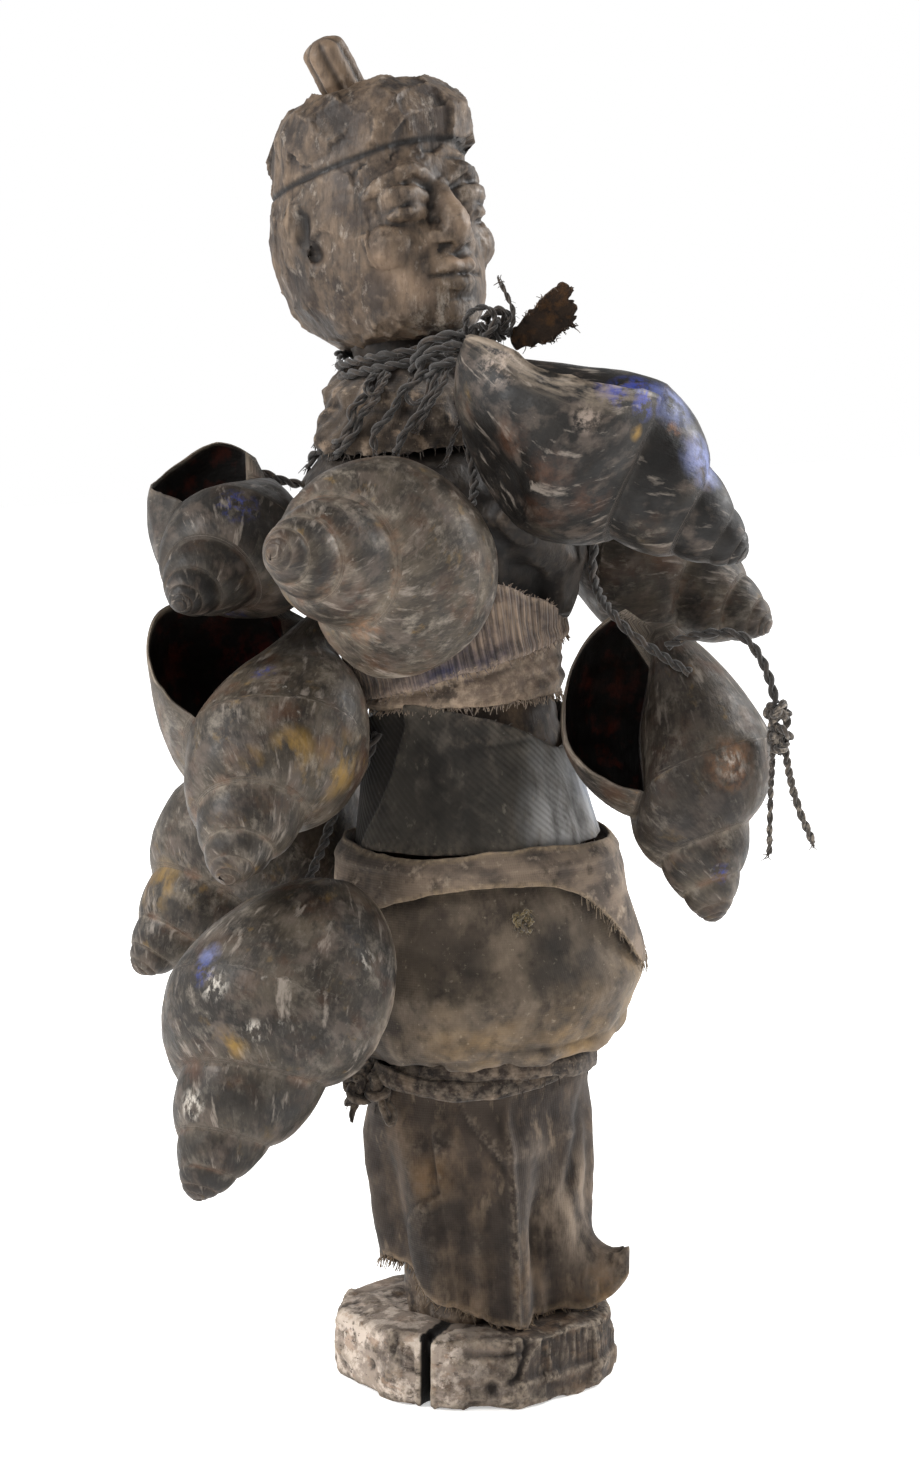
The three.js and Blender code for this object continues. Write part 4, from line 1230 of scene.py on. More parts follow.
head = {
    "centre": (-18, 38, 427),
    "turn": 12,              # degrees to its own left
    "tilt": 18,              # degrees that the chin is lifted
    "voxel": 0.95,
    "cutSize": 9,            # width of the knife's cuts
}


def tableRows(table, heights):
    # the further columns of a table, smoothed, at each of the heights
    table = np.array(table, dtype=float)
    smooth = smoothPath(table, 0.5)
    order = np.argsort(smooth[:, 0])
    return [np.interp(heights, smooth[order, 0], smooth[order, k]) for k in range(1, table.shape[1])]


def markedNear(marks, points, line, width, strength=1.0):
    # marks made stronger near a line
    return np.maximum(marks, strength * np.exp(-(nearLine(points, line) / width) ** 2))


def brimLift(points):
    # the brim rises over the forehead
    angle = np.arctan2(points[:, 1] - 4, points[:, 0])
    return 4 * np.exp(-((angle + math.pi / 2) / 0.7) ** 2)


def skull():
    turn = 2 * np.pi * np.arange(48) / 48
    heights = np.linspace(-42, 32, 38)
    half, front, back = tableRows([(-42, 17, -25, 12), (-38, 22, -31, 24), (-30, 27, -34, 36),
                                   (-16, 31.5, -35, 46), (4, 34, -34, 47), (18, 33, -34.5, 44),
                                   (32, 30, -30, 39)], heights)
    square = 0.88            # under 1, the plan is squarer than an ellipse
    cosine = np.sign(np.cos(turn)) * np.abs(np.cos(turn)) ** square
    sine = np.sign(np.sin(turn)) * np.abs(np.sin(turn)) ** square
    return loft([np.stack([half[k] * cosine, (front[k] + back[k]) / 2 + (back[k] - front[k]) / 2 * sine,
                           np.full(48, z)], axis=1) for k, z in enumerate(heights)])


def headParts():
    parts = [skull()]
    parts.append(rod([(0, -31, 13), (0, -34.5, 3), (0, -38.2, -7), (0, -33, -13)], [3.2, 4.2, 5.6, 4.5]))
    parts.append(rod([(-9, -32, -10.5), (0, -37, -11), (9, -32, -10.5)], [3.6, 4.6, 3.6]))
    for side in (-1, 1):
        parts.append(ball((side * 14, -29.6, 5.6), (10.6, 6.4, 5.4)))
        parts.append(ball((side * 14, -29.4, -0.6), (9.6, 6, 3.6)))
        parts.append(rod([(side * 3.6, -33.4, 11.5), (side * 13, -34, 15), (side * 22, -28.4, 12),
                          (side * 27, -22, 7)], [2.4, 3.0, 2.4, 1.4]))
        parts.append(ball((side * 19, -22, -11), (10, 9.5, 10)))
        parts.append(rod([(side * 31.5, -3, 6), (side * 34, 2, 12), (side * 35.5, 9, 12), (side * 35, 13, 4),
                          (side * 33, 10, -6), (side * 31, 2, -11)], [2.2, 2.6, 2.8, 2.8, 2.6, 3.0]))
        parts.append(ball((side * 31, 4, 0), (3.0, 7, 9)))
    parts.append(ball((0, -25.5, -24), (16, 9.5, 10.5)))
    parts.append(rod([(-11.5, -29.5, -23.6), (-5, -35, -21.6), (0, -35.6, -22.4), (5, -35, -21.6),
                      (11.5, -29.5, -23.6)], [1.6, 3, 2.7, 3, 1.6]))
    parts.append(rod([(-10.5, -29.5, -25.4), (0, -34.8, -28.4), (10.5, -29.5, -25.4)], [1.6, 3.4, 1.6]))
    parts.append(ball((0, -26.5, -37), (11, 8, 7.5)))
    parts.append(capShape())
    return parts


# the cuts on each side, with their width and depth: the lids' low curved line, the creases above and
# below it, the nostril, the fold beside the mouth, and the hollow of the ear
faceCuts = [
    ([(4.5, -33, 0.8), (9, -36, 2.0), (14, -36.6, 2.3), (19, -34, 1.6), (24, -28, 0.2)], 0.8, 1.5),
    ([(5, -34, 7.2), (13, -35.5, 10.6), (22, -29, 8)], 1.1, 1.3),
    ([(6, -33, -4), (14, -34, -5.4), (22, -28, -3.5)], 1.2, 0.8),
    ([(4.2, -37, -14.5), (6, -35, -14.2)], 1.6, 1.6),
    ([(9, -33, -14), (14.5, -31, -19), (16, -28, -26)], 1.6, 0.6),
    ([(35, 4, 7), (36, 6, 0), (34, 3, -6)], 3.4, 3.6),
]

headCracks = [
    [(-14, -36, 52), (-13, -40, 44), (-11.5, -41, 37)], [(-15, -36, 46), (-9, -41, 43)],
    [(20, -30, 30), (22, -30, 38)], [(-33, -12, 26), (-36, -8, 40)],
    [(-34, 22, 24), (-33, 24, 5), (-32, 20, -14)], [(-20, -31, -30), (-24, -28, -20)],
    [(34, 18, 20), (33, 22, -10)],
]


def makeHeadMesh():
    # made upright about its own centre: x to its left, y to its back
    points, quads = fused(headParts(), head["voxel"], 2)
    normals = meshNormals(points, quads)
    onCap = smoothStep(18, 22, points[:, 2])
    # broad knife cuts on the skull and cap, finer ones on the face
    front = smoothStep(-16, -26, points[:, 1]) * (1 - onCap)
    cut = facetCuts(points, normals, head["cutSize"] * 1.6, 0.95, 1.7, 3)
    fine = facetCuts(points, normals, head["cutSize"] * 0.6, 0.7, 0.4, 4)
    points = np.where(front[:, None] > 0.5, fine, cut)
    normals = meshNormals(points, quads)
    for side in (-1, 1):
        for line, width, depth in faceCuts:
            points = groove(points, normals, [(side * x, y, z) for x, y, z in line], width, depth)
    points = groove(points, normals, [(-12, -32, -24.6), (0, -38, -25.2), (12, -32, -24.6)], 0.9, 1.3)
    points = groove(points, normals, [(0, -35, -17), (0, -36, -19.5)], 1.8, 0.7)
    # the dark groove under the cap's brim
    brim = 22.3 + brimLift(points)
    depth = 0.9 * np.clip(1 + 1.2 * layeredNoise(points, 9, 2, 23), 0.3, 1.6)
    points = points - normals * (depth * np.exp(-((points[:, 2] - brim) / 1.0) ** 2))[:, None]
    for k, line in enumerate(headCracks):
        points = groove(points, normals, wavered(smoothPath(line, 2.0), 0.7, 4, 2, 7 + k), 0.7, 1.5)
    rough = 0.35 * layeredNoise(points, 9, 3, 21) + 0.12 * layeredNoise(points, 2.4, 2, 22)
    points = points + normals * rough[:, None]
    # painted shade under the cap's brim, in the ears' hollows, along the lids and beside the nose; dirt in
    # the cracks
    grimeAndPaintedShade = np.clip(1.1 * np.exp(-((points[:, 2] - brim) / 1.4) ** 2), 0, 1)
    for side in (-1, 1):
        grimeAndPaintedShade = markedNear(grimeAndPaintedShade, points, [(side * 34.5, 4, 6), (side * 35, 6, -4)], 4.5)
        lids = [(side * 5, -33, 0.8), (side * 14, -36.6, 2.3), (side * 24, -28, 0.2)]
        grimeAndPaintedShade = markedNear(grimeAndPaintedShade, points, lids, 1.1, 0.8)
        grimeAndPaintedShade = markedNear(grimeAndPaintedShade, points, [(side * 5, -33, 8), (side * 5, -33, 0)], 3, 0.9)
    for line in headCracks:
        grimeAndPaintedShade = markedNear(grimeAndPaintedShade, points, line, 1.1)
    rubbed = markedNear(0, points, [(0, -42, -8), (0, -38, 2)], 3.5)
    rubbed = markedNear(rubbed, points, [(-6, -38, -20.5), (6, -38, -20.5)], 2)
    rubbed = markedNear(rubbed, points, [(-26, -24, -16), (-16, -30, -30)], 5, 0.8)
    turned = np.array(Matrix.Rotation(math.radians(head["turn"]), 3, "Z")
                      @ Matrix.Rotation(math.radians(-head["tilt"]), 3, "X"))
    none = np.zeros(len(points))
    values = {"grimeAndPaintedShade": grimeAndPaintedShade, "rubbed": rubbed, "paint": none, "dark": none}
    return points @ turned.T + np.array(head["centre"]), quads, values


def capShape():
    # nine flat sides, as in the part, with the brim lifted over the forehead
    sides = 9
    fine = 10
    k = np.arange(sides + 1)
    rows = []
    for i, (z, half, deep) in enumerate([(22.5, 33, 40), (24.5, 35.3, 42.2), (28, 35.6, 42.6),
                                         (36, 36.5, 44), (46, 34, 40), (51, 28, 33), (54, 22, 26)]):
        level = min(i, 4)
        turn = 2 * np.pi * (k + 0.3 * np.sin(1.9 * (k % sides) + level * 0.3)) / sides
        corners = np.stack([3 + half * np.cos(turn), 2 + deep * np.sin(turn)], axis=1)
        t = np.arange(fine)[:, None] / fine
        ring = np.concatenate([corners[n] * (1 - t) + corners[n + 1] * t for n in range(sides)])
        rows.append(np.column_stack([ring, z + brimLift(ring) * (1 - smoothStep(28, 36, z))]))
    return loft(rows)


base = {
    "height": 27,            # millimetres
    "half": (55, 51),
    "sides": 11,
    "splitAngle": -143,      # degrees
    "splitReach": 26,
    "splitWidth": 3.4,
    "voxel": 1.2,
}


def makeBaseMesh():
    k = np.arange(base["sides"] + 1)
    turn = 2 * np.pi * (k + 0.22 * np.sin(2.3 * (k % base["sides"]))) / base["sides"]
    turn[-1] = turn[0] + 2 * np.pi
    reach = 1 + 0.03 * np.sin(1.7 * (k % base["sides"]) + 0.6)
    halfWide, halfDeep = base["half"]
    corners = np.stack([halfWide * reach * np.cos(turn), halfDeep * reach * np.sin(turn)], axis=1)
    t = np.linspace(0, 1, 20, endpoint=False)[:, None]
    edge = np.concatenate([corners[n] + (corners[n + 1] - corners[n]) * t for n in range(base["sides"])])
    angles = np.unwrap(np.arctan2(edge[:, 1], edge[:, 0]))
    radii = np.hypot(edge[:, 0], edge[:, 1])
    split = math.radians(base["splitAngle"])
    way = np.array([math.cos(split), math.sin(split)])
    across = np.array([-way[1], way[0]])
    rim = np.interp(split, angles, radii, period=2 * np.pi)
    deep = np.linspace(0, 1, 16)
    rows = []
    for z, size in ((0, 0.975), (1.4, 0.992), (4, 1.0), (9, 1.0), (14, 1.0), (19, 1.0), (24, 0.995),
                    (26.2, 0.975), (base["height"], 0.95)):
        # the outline runs round the rim and then in and out of the split
        half = base["splitWidth"] / 2 * (1.2 - 0.35 * z / base["height"])
        gap = math.asin(half / rim)
        around = np.linspace(split + gap, split + 2 * np.pi - gap, 260)
        ring = np.interp(around, angles, radii, period=2 * np.pi)[:, None] * np.stack(
            [np.cos(around), np.sin(around)], axis=1) * size
        walls = []
        for side, run in ((-1, deep), (1, deep[::-1])):
            out = rim * size - base["splitReach"] * run
            wide = half * (1 - 0.75 * run) + 0.02
            bend = np.sin(run * 4.0) + 0.8 * np.sin(z / 6) * np.minimum(1, run * 4)
            bend *= np.minimum(1, run * 3)
            walls.append(out[:, None] * way + (bend + side * wide)[:, None] * across)
        loop = np.concatenate([ring, walls[0][1:], walls[1][:-1]])
        rows.append(np.column_stack([loop, np.full(len(loop), z)]))
    points, quads = fused([loft(rows)], base["voxel"], 1)
    normals = meshNormals(points, quads)
    onSplit = (np.abs(points[:, :2] @ across) < 4) & (points[:, :2] @ way > rim - base["splitReach"] - 3)
    cut = facetCuts(points, normals, 17, 0.7, 0.7, 8)
    points = np.where(onSplit[:, None], points, cut)
    points = points + normals * (0.45 * layeredNoise(points, 12, 4, 31))[:, None]
    # painted shade down inside the split
    inside = onSplit & (points[:, :2] @ way < rim - 1.2) & (np.abs(points[:, :2] @ across) < 2.9)
    return points, quads, inside.astype(float)


def makeBody():
    # legs, trunk, arms and neck, kept a little inside the cloth that covers them
    turn = 2 * np.pi * np.arange(56) / 56
    depths = np.array([(100, 12), (122, 8), (155, 10), (193, 10), (204, 9), (206, 3.4), (298, 5), (312, 1),
                       (338, 0), (350, 6), (385, 6)])
    heights = np.concatenate([np.arange(100, 204, 6), [204, 206], np.arange(210, 351, 4)])
    rows = [bodyPoint(z, turn, -np.interp(z, depths[:, 0], depths[:, 1])) for z in heights]
    parts = [loft(rows)]
    for side in (-1, 1):
        parts.append(rod([(side * 19 + 2, 0, 26), (side * 19 + 2, 0, 60), (side * 16, -2, 118)],
                         [13.5, 12.5, 15]))
        parts.append(ball((side * 17 + 2, -9, 28), (12, 18, 6)))
    radii = [9, 10, 9.5, 9, 8.5, 8, 6]
    parts.append(rod([(27, 16, 341), (33, 8, 328), (35, 0, 314), (31, -5, 308), (20, -13, 313),
                      (4, -19, 325), (-4, -20, 331)], radii))
    parts.append(rod([(31, -3, 308), (30, -4, 299), (27, -4, 288)], [9, 9.5, 8]))
    parts.append(rod([(-50, 20, 341), (-56, 12, 328), (-56, 4, 314), (-52, -2, 308), (-40, -13, 312),
                      (-26, -18, 322), (-20, -19, 328)], radii))
    parts.append(rod([(-14, 22, 346), (-15, 26, 372), (-17, 33, 396)], [17, 17, 19]))
    points, quads = fused(parts, 1.9, 2)
    normals = meshNormals(points, quads)
    points = facetCuts(points, normals, 13, 0.75, 0.9, 9)
    normals = meshNormals(points, quads)
    cracks = [[(-2, -24, 352), (2, -18, 330), (0, -16, 300)], [(30, -20, 330), (34, -18, 300)]]
    for line in cracks:
        points = groove(points, normals, line, 1.4, 1.5)
    points = points + normals * (0.4 * layeredNoise(points, 11, 3, 41))[:, None]
    none = np.zeros(len(points))
    dark = 0.15 + 0.75 * smoothStep(262, 285, points[:, 2])
    return points, quads, {"grimeAndPaintedShade": none, "rubbed": none, "paint": none, "dark": dark}


baseCracks = [
    [(-9.5, -47.2, 27), (-8.4, -50, 24), (-12.3, -50.8, 14.2), (-15.2, -49.3, 11.1)],
    [(-30, -42, 22), (-18, -48, 21), (-9, -50, 22)],
    [(-47, -20, 27), (-48, -20, 20)],
]
# holes in the base, each with its width
baseHoles = [([(-21.7, -46.5, 8.5), (-21.7, -47.5, 7)], 2.2),
             ([(-50.5, -6.1, 11.4), (-49.8, -6.1, 11.4)], 1.4)]


def weatheredBase():
    points, quads, grimeAndPaintedShade = makeBaseMesh()
    normals = meshNormals(points, quads)
    for line in baseCracks:
        path = wavered(smoothPath(line, 1.5), 0.6, 4, 2, 51)
        points = groove(points, normals, path, 0.9, 2.2)
    # a ledge on the viewer's right, with rough upright grain above it
    angle = np.degrees(np.arctan2(points[:, 1], points[:, 0]))
    ledge = smoothStep(-106, -104, angle) * (1 - smoothStep(-10, 0, angle))
    above = smoothStep(10.5, 11.8, points[:, 2]) * (1 - smoothStep(24, 26.5, points[:, 2]))
    upright = np.column_stack([angle * 1.1, points[:, 2] * 0.12, np.zeros(len(angle))])
    grain = 0.5 * valueNoise(upright, 1.0, 6)
    side = np.hypot(points[:, 0] / base["half"][0], points[:, 1] / base["half"][1]) > 0.9
    points = points - normals * ((1.2 + grain) * ledge * above * side)[:, None]
    for line, width in baseHoles:
        points = groove(points, normals, line, width, 3.0)
    for line in baseCracks:
        grimeAndPaintedShade = markedNear(grimeAndPaintedShade, points, line, 1.3)
    # painted shade in the holes
    for line, width in baseHoles:
        grimeAndPaintedShade = markedNear(grimeAndPaintedShade, points, line, max(width, 1.5))
    # the paint lies on the figure's right side, and thins out towards the front and the back
    turned = np.where(angle > 90, angle - 360, angle)
    left = 1 - 0.62 * smoothStep(-134, -126, turned) - 0.38 * smoothStep(-112, -92, turned)
    left *= smoothStep(-268, -225, turned)
    paint = left * smoothStep(0.5, 3, points[:, 2]) * np.where(points[:, 2] > 26, 0.7, 1.0)
    points[:, 2] = np.maximum(points[:, 2], 0)
    none = np.zeros(len(points))
    return points, quads, {"grimeAndPaintedShade": grimeAndPaintedShade, "rubbed": none, "paint": paint, "dark": none}


def makeFigure():
    parts = [weatheredBase(), makeBody(), makeHeadMesh()]
    for partVerts, partFaces, partValues in parts:
        partValues["raised"], partValues["hollow"] = relief(partVerts, partFaces, 12, 0.55)
    verts, faces, values = joined(parts)
    piece = addMesh("carvedFigure", verts, faces, basePaintMaterial, values)
    piece.data.materials.append(woodMaterial)
    index = np.ones(len(piece.data.polygons), dtype=np.int32)
    index[:len(parts[0][1])] = 0
    piece.data.polygons.foreach_set("material_index", index)
    rideRoot(piece, ["carved_figure"])


woodMaterial = layeredMaterial("smokedHardwood", woodSkin)
basePaintMaterial = layeredMaterial("wornPaintedHardwood", basePaint)
makeFigure()

peg = {"foot": (-22, 50, 469), "tip": (-39, 51, 498), "diameter": 16.5, "flutes": 6}


def makePeg():
    foot, tip = np.array(peg["foot"], dtype=float), np.array(peg["tip"], dtype=float)
    length = np.linalg.norm(tip - foot)
    sides = 60
    run = np.linspace(0.03, 1, sides)
    path = foot + (tip - foot) * run[:, None]
    away = (1 - run) * length
    radii = peg["diameter"] / 2 * np.sqrt(np.clip(1 - (1 - np.minimum(away / 5.5, 1)) ** 2.4, 0.02, 1))
    verts, faces, _ = tube(path, radii, sides)
    ahead = (tip - foot) / length
    centre = foot + ((verts - foot) @ ahead)[:, None] * ahead
    out = verts - centre
    reach = np.linalg.norm(out, axis=1, keepdims=True)
    around = np.concatenate([np.tile(2 * np.pi * np.arange(sides) / sides, sides), [0, 0]])
    fluting = 1 - 0.17 * np.abs(np.cos(around * peg["flutes"] / 2)) ** 5 * np.minimum(1, reach[:, 0] / 5)
    verts = centre + out * fluting[:, None]
    verts += out * 0.03 * layeredNoise(verts, 4, 3, 61)[:, None]
    # darker down in the flutes, lighter on their ridges
    grimeAndPaintedShade = np.clip((1 - fluting) * 6 - 0.25, 0, 1)
    values = {"grimeAndPaintedShade": grimeAndPaintedShade, "rubbed": 0.35 - 0.35 * grimeAndPaintedShade, "dark": np.zeros(len(verts))}
    rideRoot(addMesh("capPeg", verts, faces, woodMaterial, values), ["cap_peg"])


makePeg()
print("wood made")


# Cloth: old cotton strips, crusted and worn. Each is one band, as in the part, with its own folds.

clothForm = {
    "steps": 330,            # round the body
    "edge": 0.9,             # millimetres, thickness at a raw edge
}


def clothSkin(base, layers, weave, bump, sheen=0.08):
    # faded colour over woven relief, so that the threads catch the light
    # painted shade in the folds' hollows, and pale dust on raised parts
    paintedShadeAndDust = [
        coat("#14100e", 3, 0.2, 0.4, 0.8, where="hollow"),
        coat("#8f8070", 3, 0.42, 0.66, 0.42, where="raised", detail=8),
    ]
    return {
        "thread": True, "base": base, "layers": layers + paintedShadeAndDust, "roughness": (0.8, 0.98, 9),
        "bumps": weave + [{"size": 4, "height": bump, "detail": 6}], "specular": 0.15, "sheen": sheen,
    }


def hemThreads(edge, angle, count, down, spec, rng):
    # loose threads along one edge of a cloth band
    threads = []
    middle = edge.mean(axis=0)
    s = np.linspace(0, 1, 5)[:, None]
    for _ in range(count):
        j = rng.integers(len(edge))
        if "fringeWhere" in spec and not spec["fringeWhere"](angle[j]):
            continue
        outward = (edge[j] - middle) * (1, 1, 0)
        outward /= np.linalg.norm(outward)
        tangent = np.array([-outward[1], outward[0], 0])
        long = spec["fringeLength"] * rng.uniform(0.3, 1.2)
        lean = rng.normal() * 0.6
        line = (edge[j] + outward * (0.1 + 0.5 * rng.uniform() * s + 0.8 * s ** 2 * rng.uniform())
                + tangent * lean * long * s + np.array([0, 0, down]) * long * s)
        line[:, 2] -= 0.3 * long * s[:, 0] ** 2
        line[:, 2] = np.maximum(line[:, 2], spec.get("lowest", 0))
        threads.append(tube(line, np.linspace(0.24, 0.14, 5), 3))
    return threads


def addFringe(name, threads, material):
    verts, faces, values = joined(threads)
    none = np.zeros(len(verts))
    values.update({"under": none, "worn": none + 1})
    fringe = addMesh(name, verts, faces, material, values)
    rideRoot(fringe, [])
    return fringe


def makeWrap(name, node, spec, material, seed=0):
    # a closed band: rows up its outside and back down its inside
    steps, levels = clothForm["steps"], spec["levels"]
    angle = 2 * np.pi * np.arange(steps) / steps
    ragged = np.column_stack([np.cos(angle) * 40, np.sin(angle) * 40, np.full(steps, seed * 9.0)])
    low = spec["low"](angle) + spec.get("ragLow", 0.5) * (layeredNoise(ragged, 7, 4, seed) * 0.8)
    high = spec["high"](angle) + spec.get("ragHigh", 0.5) * (layeredNoise(ragged, 7, 4, seed + 9) * 0.8)
    verts, across, under, worn = [], [], [], []
    t = np.linspace(0, 1, levels + 1)
    for inner in (False, True):
        for level in t[::-1][::2] if inner else t:
            z = low * (1 - level) + high * level
            nearEdge = np.minimum(z - low, high - z)
            out = spec["out"](angle, z) + spec["folds"](angle, z)
            if inner:
                out = out - clothForm["edge"]
                out = out - (spec["thickness"] - clothForm["edge"]) * smoothStep(0, 8, nearEdge)
            points = bodyPoint(z, angle, out)
            if not inner:
                crumple = layeredNoise(points, spec["crumpleSize"], 4, seed + 3) * spec["crumple"]
                points = bodyPoint(z, angle, out + crumple)
            verts.append(points)
            across.append(z * mm)
            # painted shade on the cloth under a lapped edge, for a band that has one
            under.append(spec["under"](angle, z) if "under" in spec else np.zeros(steps))
            worn.append(1 - smoothStep(0.3, spec.get("wornEdge", 2.5), nearEdge))
    rows = len(verts)
    faces = ringFaces(rows, steps, closed=True)
    points = np.concatenate(verts)
    values = {"along": np.tile(angle * spec["radius"] * mm, rows), "across": np.concatenate(across),
              "under": np.concatenate(under), "worn": np.concatenate(worn)}
    if "curl" in spec:
        points = spec["curl"](points, np.tile(angle, rows))
    values["raised"], values["hollow"] = relief(points, faces, 14, spec.get("reliefFull", 0.7))
    piece = addMesh(name, points, faces, material, values)
    rideRoot(piece, [node])
    threads = []
    for row, count, down in ((0, "fringeLow", -1.0), (levels, "fringeHigh", 1.0)):
        rng = np.random.default_rng(seed + 50 + row)
        threads += hemThreads(verts[row], angle, spec.get(count, 0), down, spec, rng)
    extras = [addFringe(name + "Fringe", threads, material)] if threads else []


def ridge(angle, at, width):
    # a fold of a given width in degrees, at an angle in degrees that may change with height
    return np.exp(-(np.degrees(wrapAngle(angle - np.radians(at))) / width) ** 2)


def stepAt(angle, at, width):
    # 0 before an angle and 1 after it
    return smoothStep(-width, width, np.degrees(wrapAngle(angle - np.radians(at))))


def smoothDown(z, high, low):
    return 1 - smoothStep(low, high, z)


def cornerFlap(points, a):
    # the hem's corner has dried turned outwards and up
    reach = hump(a, -46, 11) * smoothDown(points[:, 2], 57, 36)
    way = np.array([math.cos(math.radians(-40)), math.sin(math.radians(-40)), 0])
    turned = 17 * (reach - 0.25 * reach ** 3)[:, None] * way
    turned[:, 2] = 14 * reach ** 1.8
    return turned


def lapEdge(z):
    # where the twill's free edge runs down the figure's right side, in degrees
    return np.interp(z, [206, 222, 238, 252], [-184, -168, -158, -148])


# Each band by its lower and upper edge round the body, how far it stands off the body, and its folds

legCloth = {
    "low": lambda a: 28.2 + 20 * hump(a, 178, 42) + 6 * hump(a, 90, 70) + 4 * hump(a, -15, 20),
    "high": lambda a: 120.5,
    "out": lambda a, z: (
        2.2 * np.sin(7 * a + 0.8) * smoothDown(z, 112, 80) + 3 * hump(a, -100, 12) * smoothDown(z, 110, 70)
        + 4 * hump(a, -46, 13) * smoothDown(z, 64, 40) - 4 * hump(a, -68, 9) * smoothDown(z, 66, 40)
        - 3 * smoothStep(95, 112, z)
    ),
    "folds": lambda a, z: (
        # the front panel laps over the left one, and its own edge hangs free
        1.6 * stepAt(a, -136 + 0.06 * (60 - z), 0.7) * (1 - stepAt(a, -100, 14)) * smoothDown(z, 112, 96)
        # the pressed seam down the middle, and the deep fold beside it
        + 2.4 * ridge(a, -103 + 0.02 * (z - 60), 2.2) * smoothDown(z, 116, 100)
        - 5.0 * ridge(a, -86 + 0.06 * (z - 60), 8) * smoothDown(z, 112, 60)
        - 5.0 * ridge(a, -80, 8) * np.exp(-((z - 58) / 13) ** 2)
        + 3.0 * ridge(a, -66 - 0.08 * (z - 70), 8) * smoothDown(z, 104, 60)
        - 2.5 * ridge(a, -47 + 0.1 * (z - 70), 6) * smoothStep(56, 76, z) * smoothDown(z, 112, 96)
        # the diagonal lap under the rope
        + 2.2 * stepAt(a, -131 + 0.95 * (118 - z), 0.5) * smoothStep(89, 93, z) * ridge(a, -108, 17)
        + 0.35 * np.sin(a * 16 + z / 14) * smoothDown(z, 112, 88)
        + 1.6 * ridge(a, -120 + 0.1 * (z - 60), 5) * smoothDown(z, 100, 60)
        - 1.8 * ridge(a, -168 - 0.2 * (z - 60), 7) * smoothDown(z, 108, 80)
        - 2.0 * ridge(a, -58 + 0.5 * (z - 90), 5) * smoothStep(60, 80, z) * smoothDown(z, 112, 100)
        # the round patch low on the left
        + 1.1 * smoothStep(0.5, -0.5, np.hypot((np.degrees(wrapAngle(a)) + 136) * 0.77, z - 56)
                           - 22 + np.sin(9 * a))
        * (1 - stepAt(a, -136 + 0.06 * (60 - z), 0.7)) * smoothStep(28, 34, z)
    ),
    "curl": lambda p, a: p + cornerFlap(p, a),
    "thickness": 2.6, "levels": 60, "crumple": 0.8, "crumpleSize": 16, "ragLow": 2.1,
    "fringeLow": 260, "fringeLength": 2.6, "radius": 42, "lowest": 27.6,
}


hipCloth = {
    "low": lambda a: 127 + 0.8 * np.sin(9 * a) + 3 * hump(a, -30, 40),
    "high": lambda a: 203,
    "out": lambda a, z: (
        1.6 * np.sin(11 * a) * smoothDown(z, 150, 124)
        + 4 * smoothStep(124, 134, z) * smoothDown(z, 175, 150) - 3.4 * smoothStep(186, 200, z)
    ),
    "folds": lambda a, z: (
        0.5 * np.sin(29 * a + 2 * np.sin(3 * a)) * smoothDown(z, 142, 127)
        - 1.6 * np.exp(-((z - 139 - 5 * np.sin(2 * a + 1.2)) / 1.6) ** 2) * ridge(a, -75, 38)
        - 1.2 * np.exp(-((z - 131 - 3 * np.sin(3 * a)) / 1.3) ** 2) * ridge(a, -130, 40)
        + 1.2 * np.exp(-((z - 134.5 - 4 * np.sin(2 * a + 1.2)) / 2.4) ** 2) * ridge(a, -60, 40)
        - 0.5 * np.exp(-((z - 172 - 7 * np.sin(2.6 * a)) / 3.5) ** 2)
        - 0.5 * hump(a, -105, 6) * np.exp(-((z - 183) / 5.0) ** 2)
    ),
    "thickness": 4.4, "levels": 52, "crumple": 0.55, "crumpleSize": 22, "radius": 54, "reliefFull": 1.6,
}

waistFlap = {
    "low": lambda a: 196 - 37 * hump(a, -34, 30) - 12 * hump(a, 178, 40) - 6 * hump(a, 80, 40),
    "high": lambda a: 207 + 1.2 * np.sin(3 * a),
    "out": lambda a, z: 4.8 + np.sin(5 * a + 1) + 1.2 * smoothDown(z, 190, 165),
    "folds": lambda a, z: (
        0.8 * np.sin(8 * a + z / 9) * smoothDown(z, 204, 190)
        - 1.8 * smoothStep(203.5, 207.5, z)
        + 0.7 * np.exp(-((z - 201.5) / 1.6) ** 2)
    ),
    "thickness": 2.4, "levels": 30, "crumple": 0.35, "crumpleSize": 12, "ragLow": 0.5,
    "fringeLow": 260, "fringeLength": 3.5, "radius": 55,
    "fringeWhere": lambda a: -75 < np.degrees(wrapAngle(a)) < 10,
}

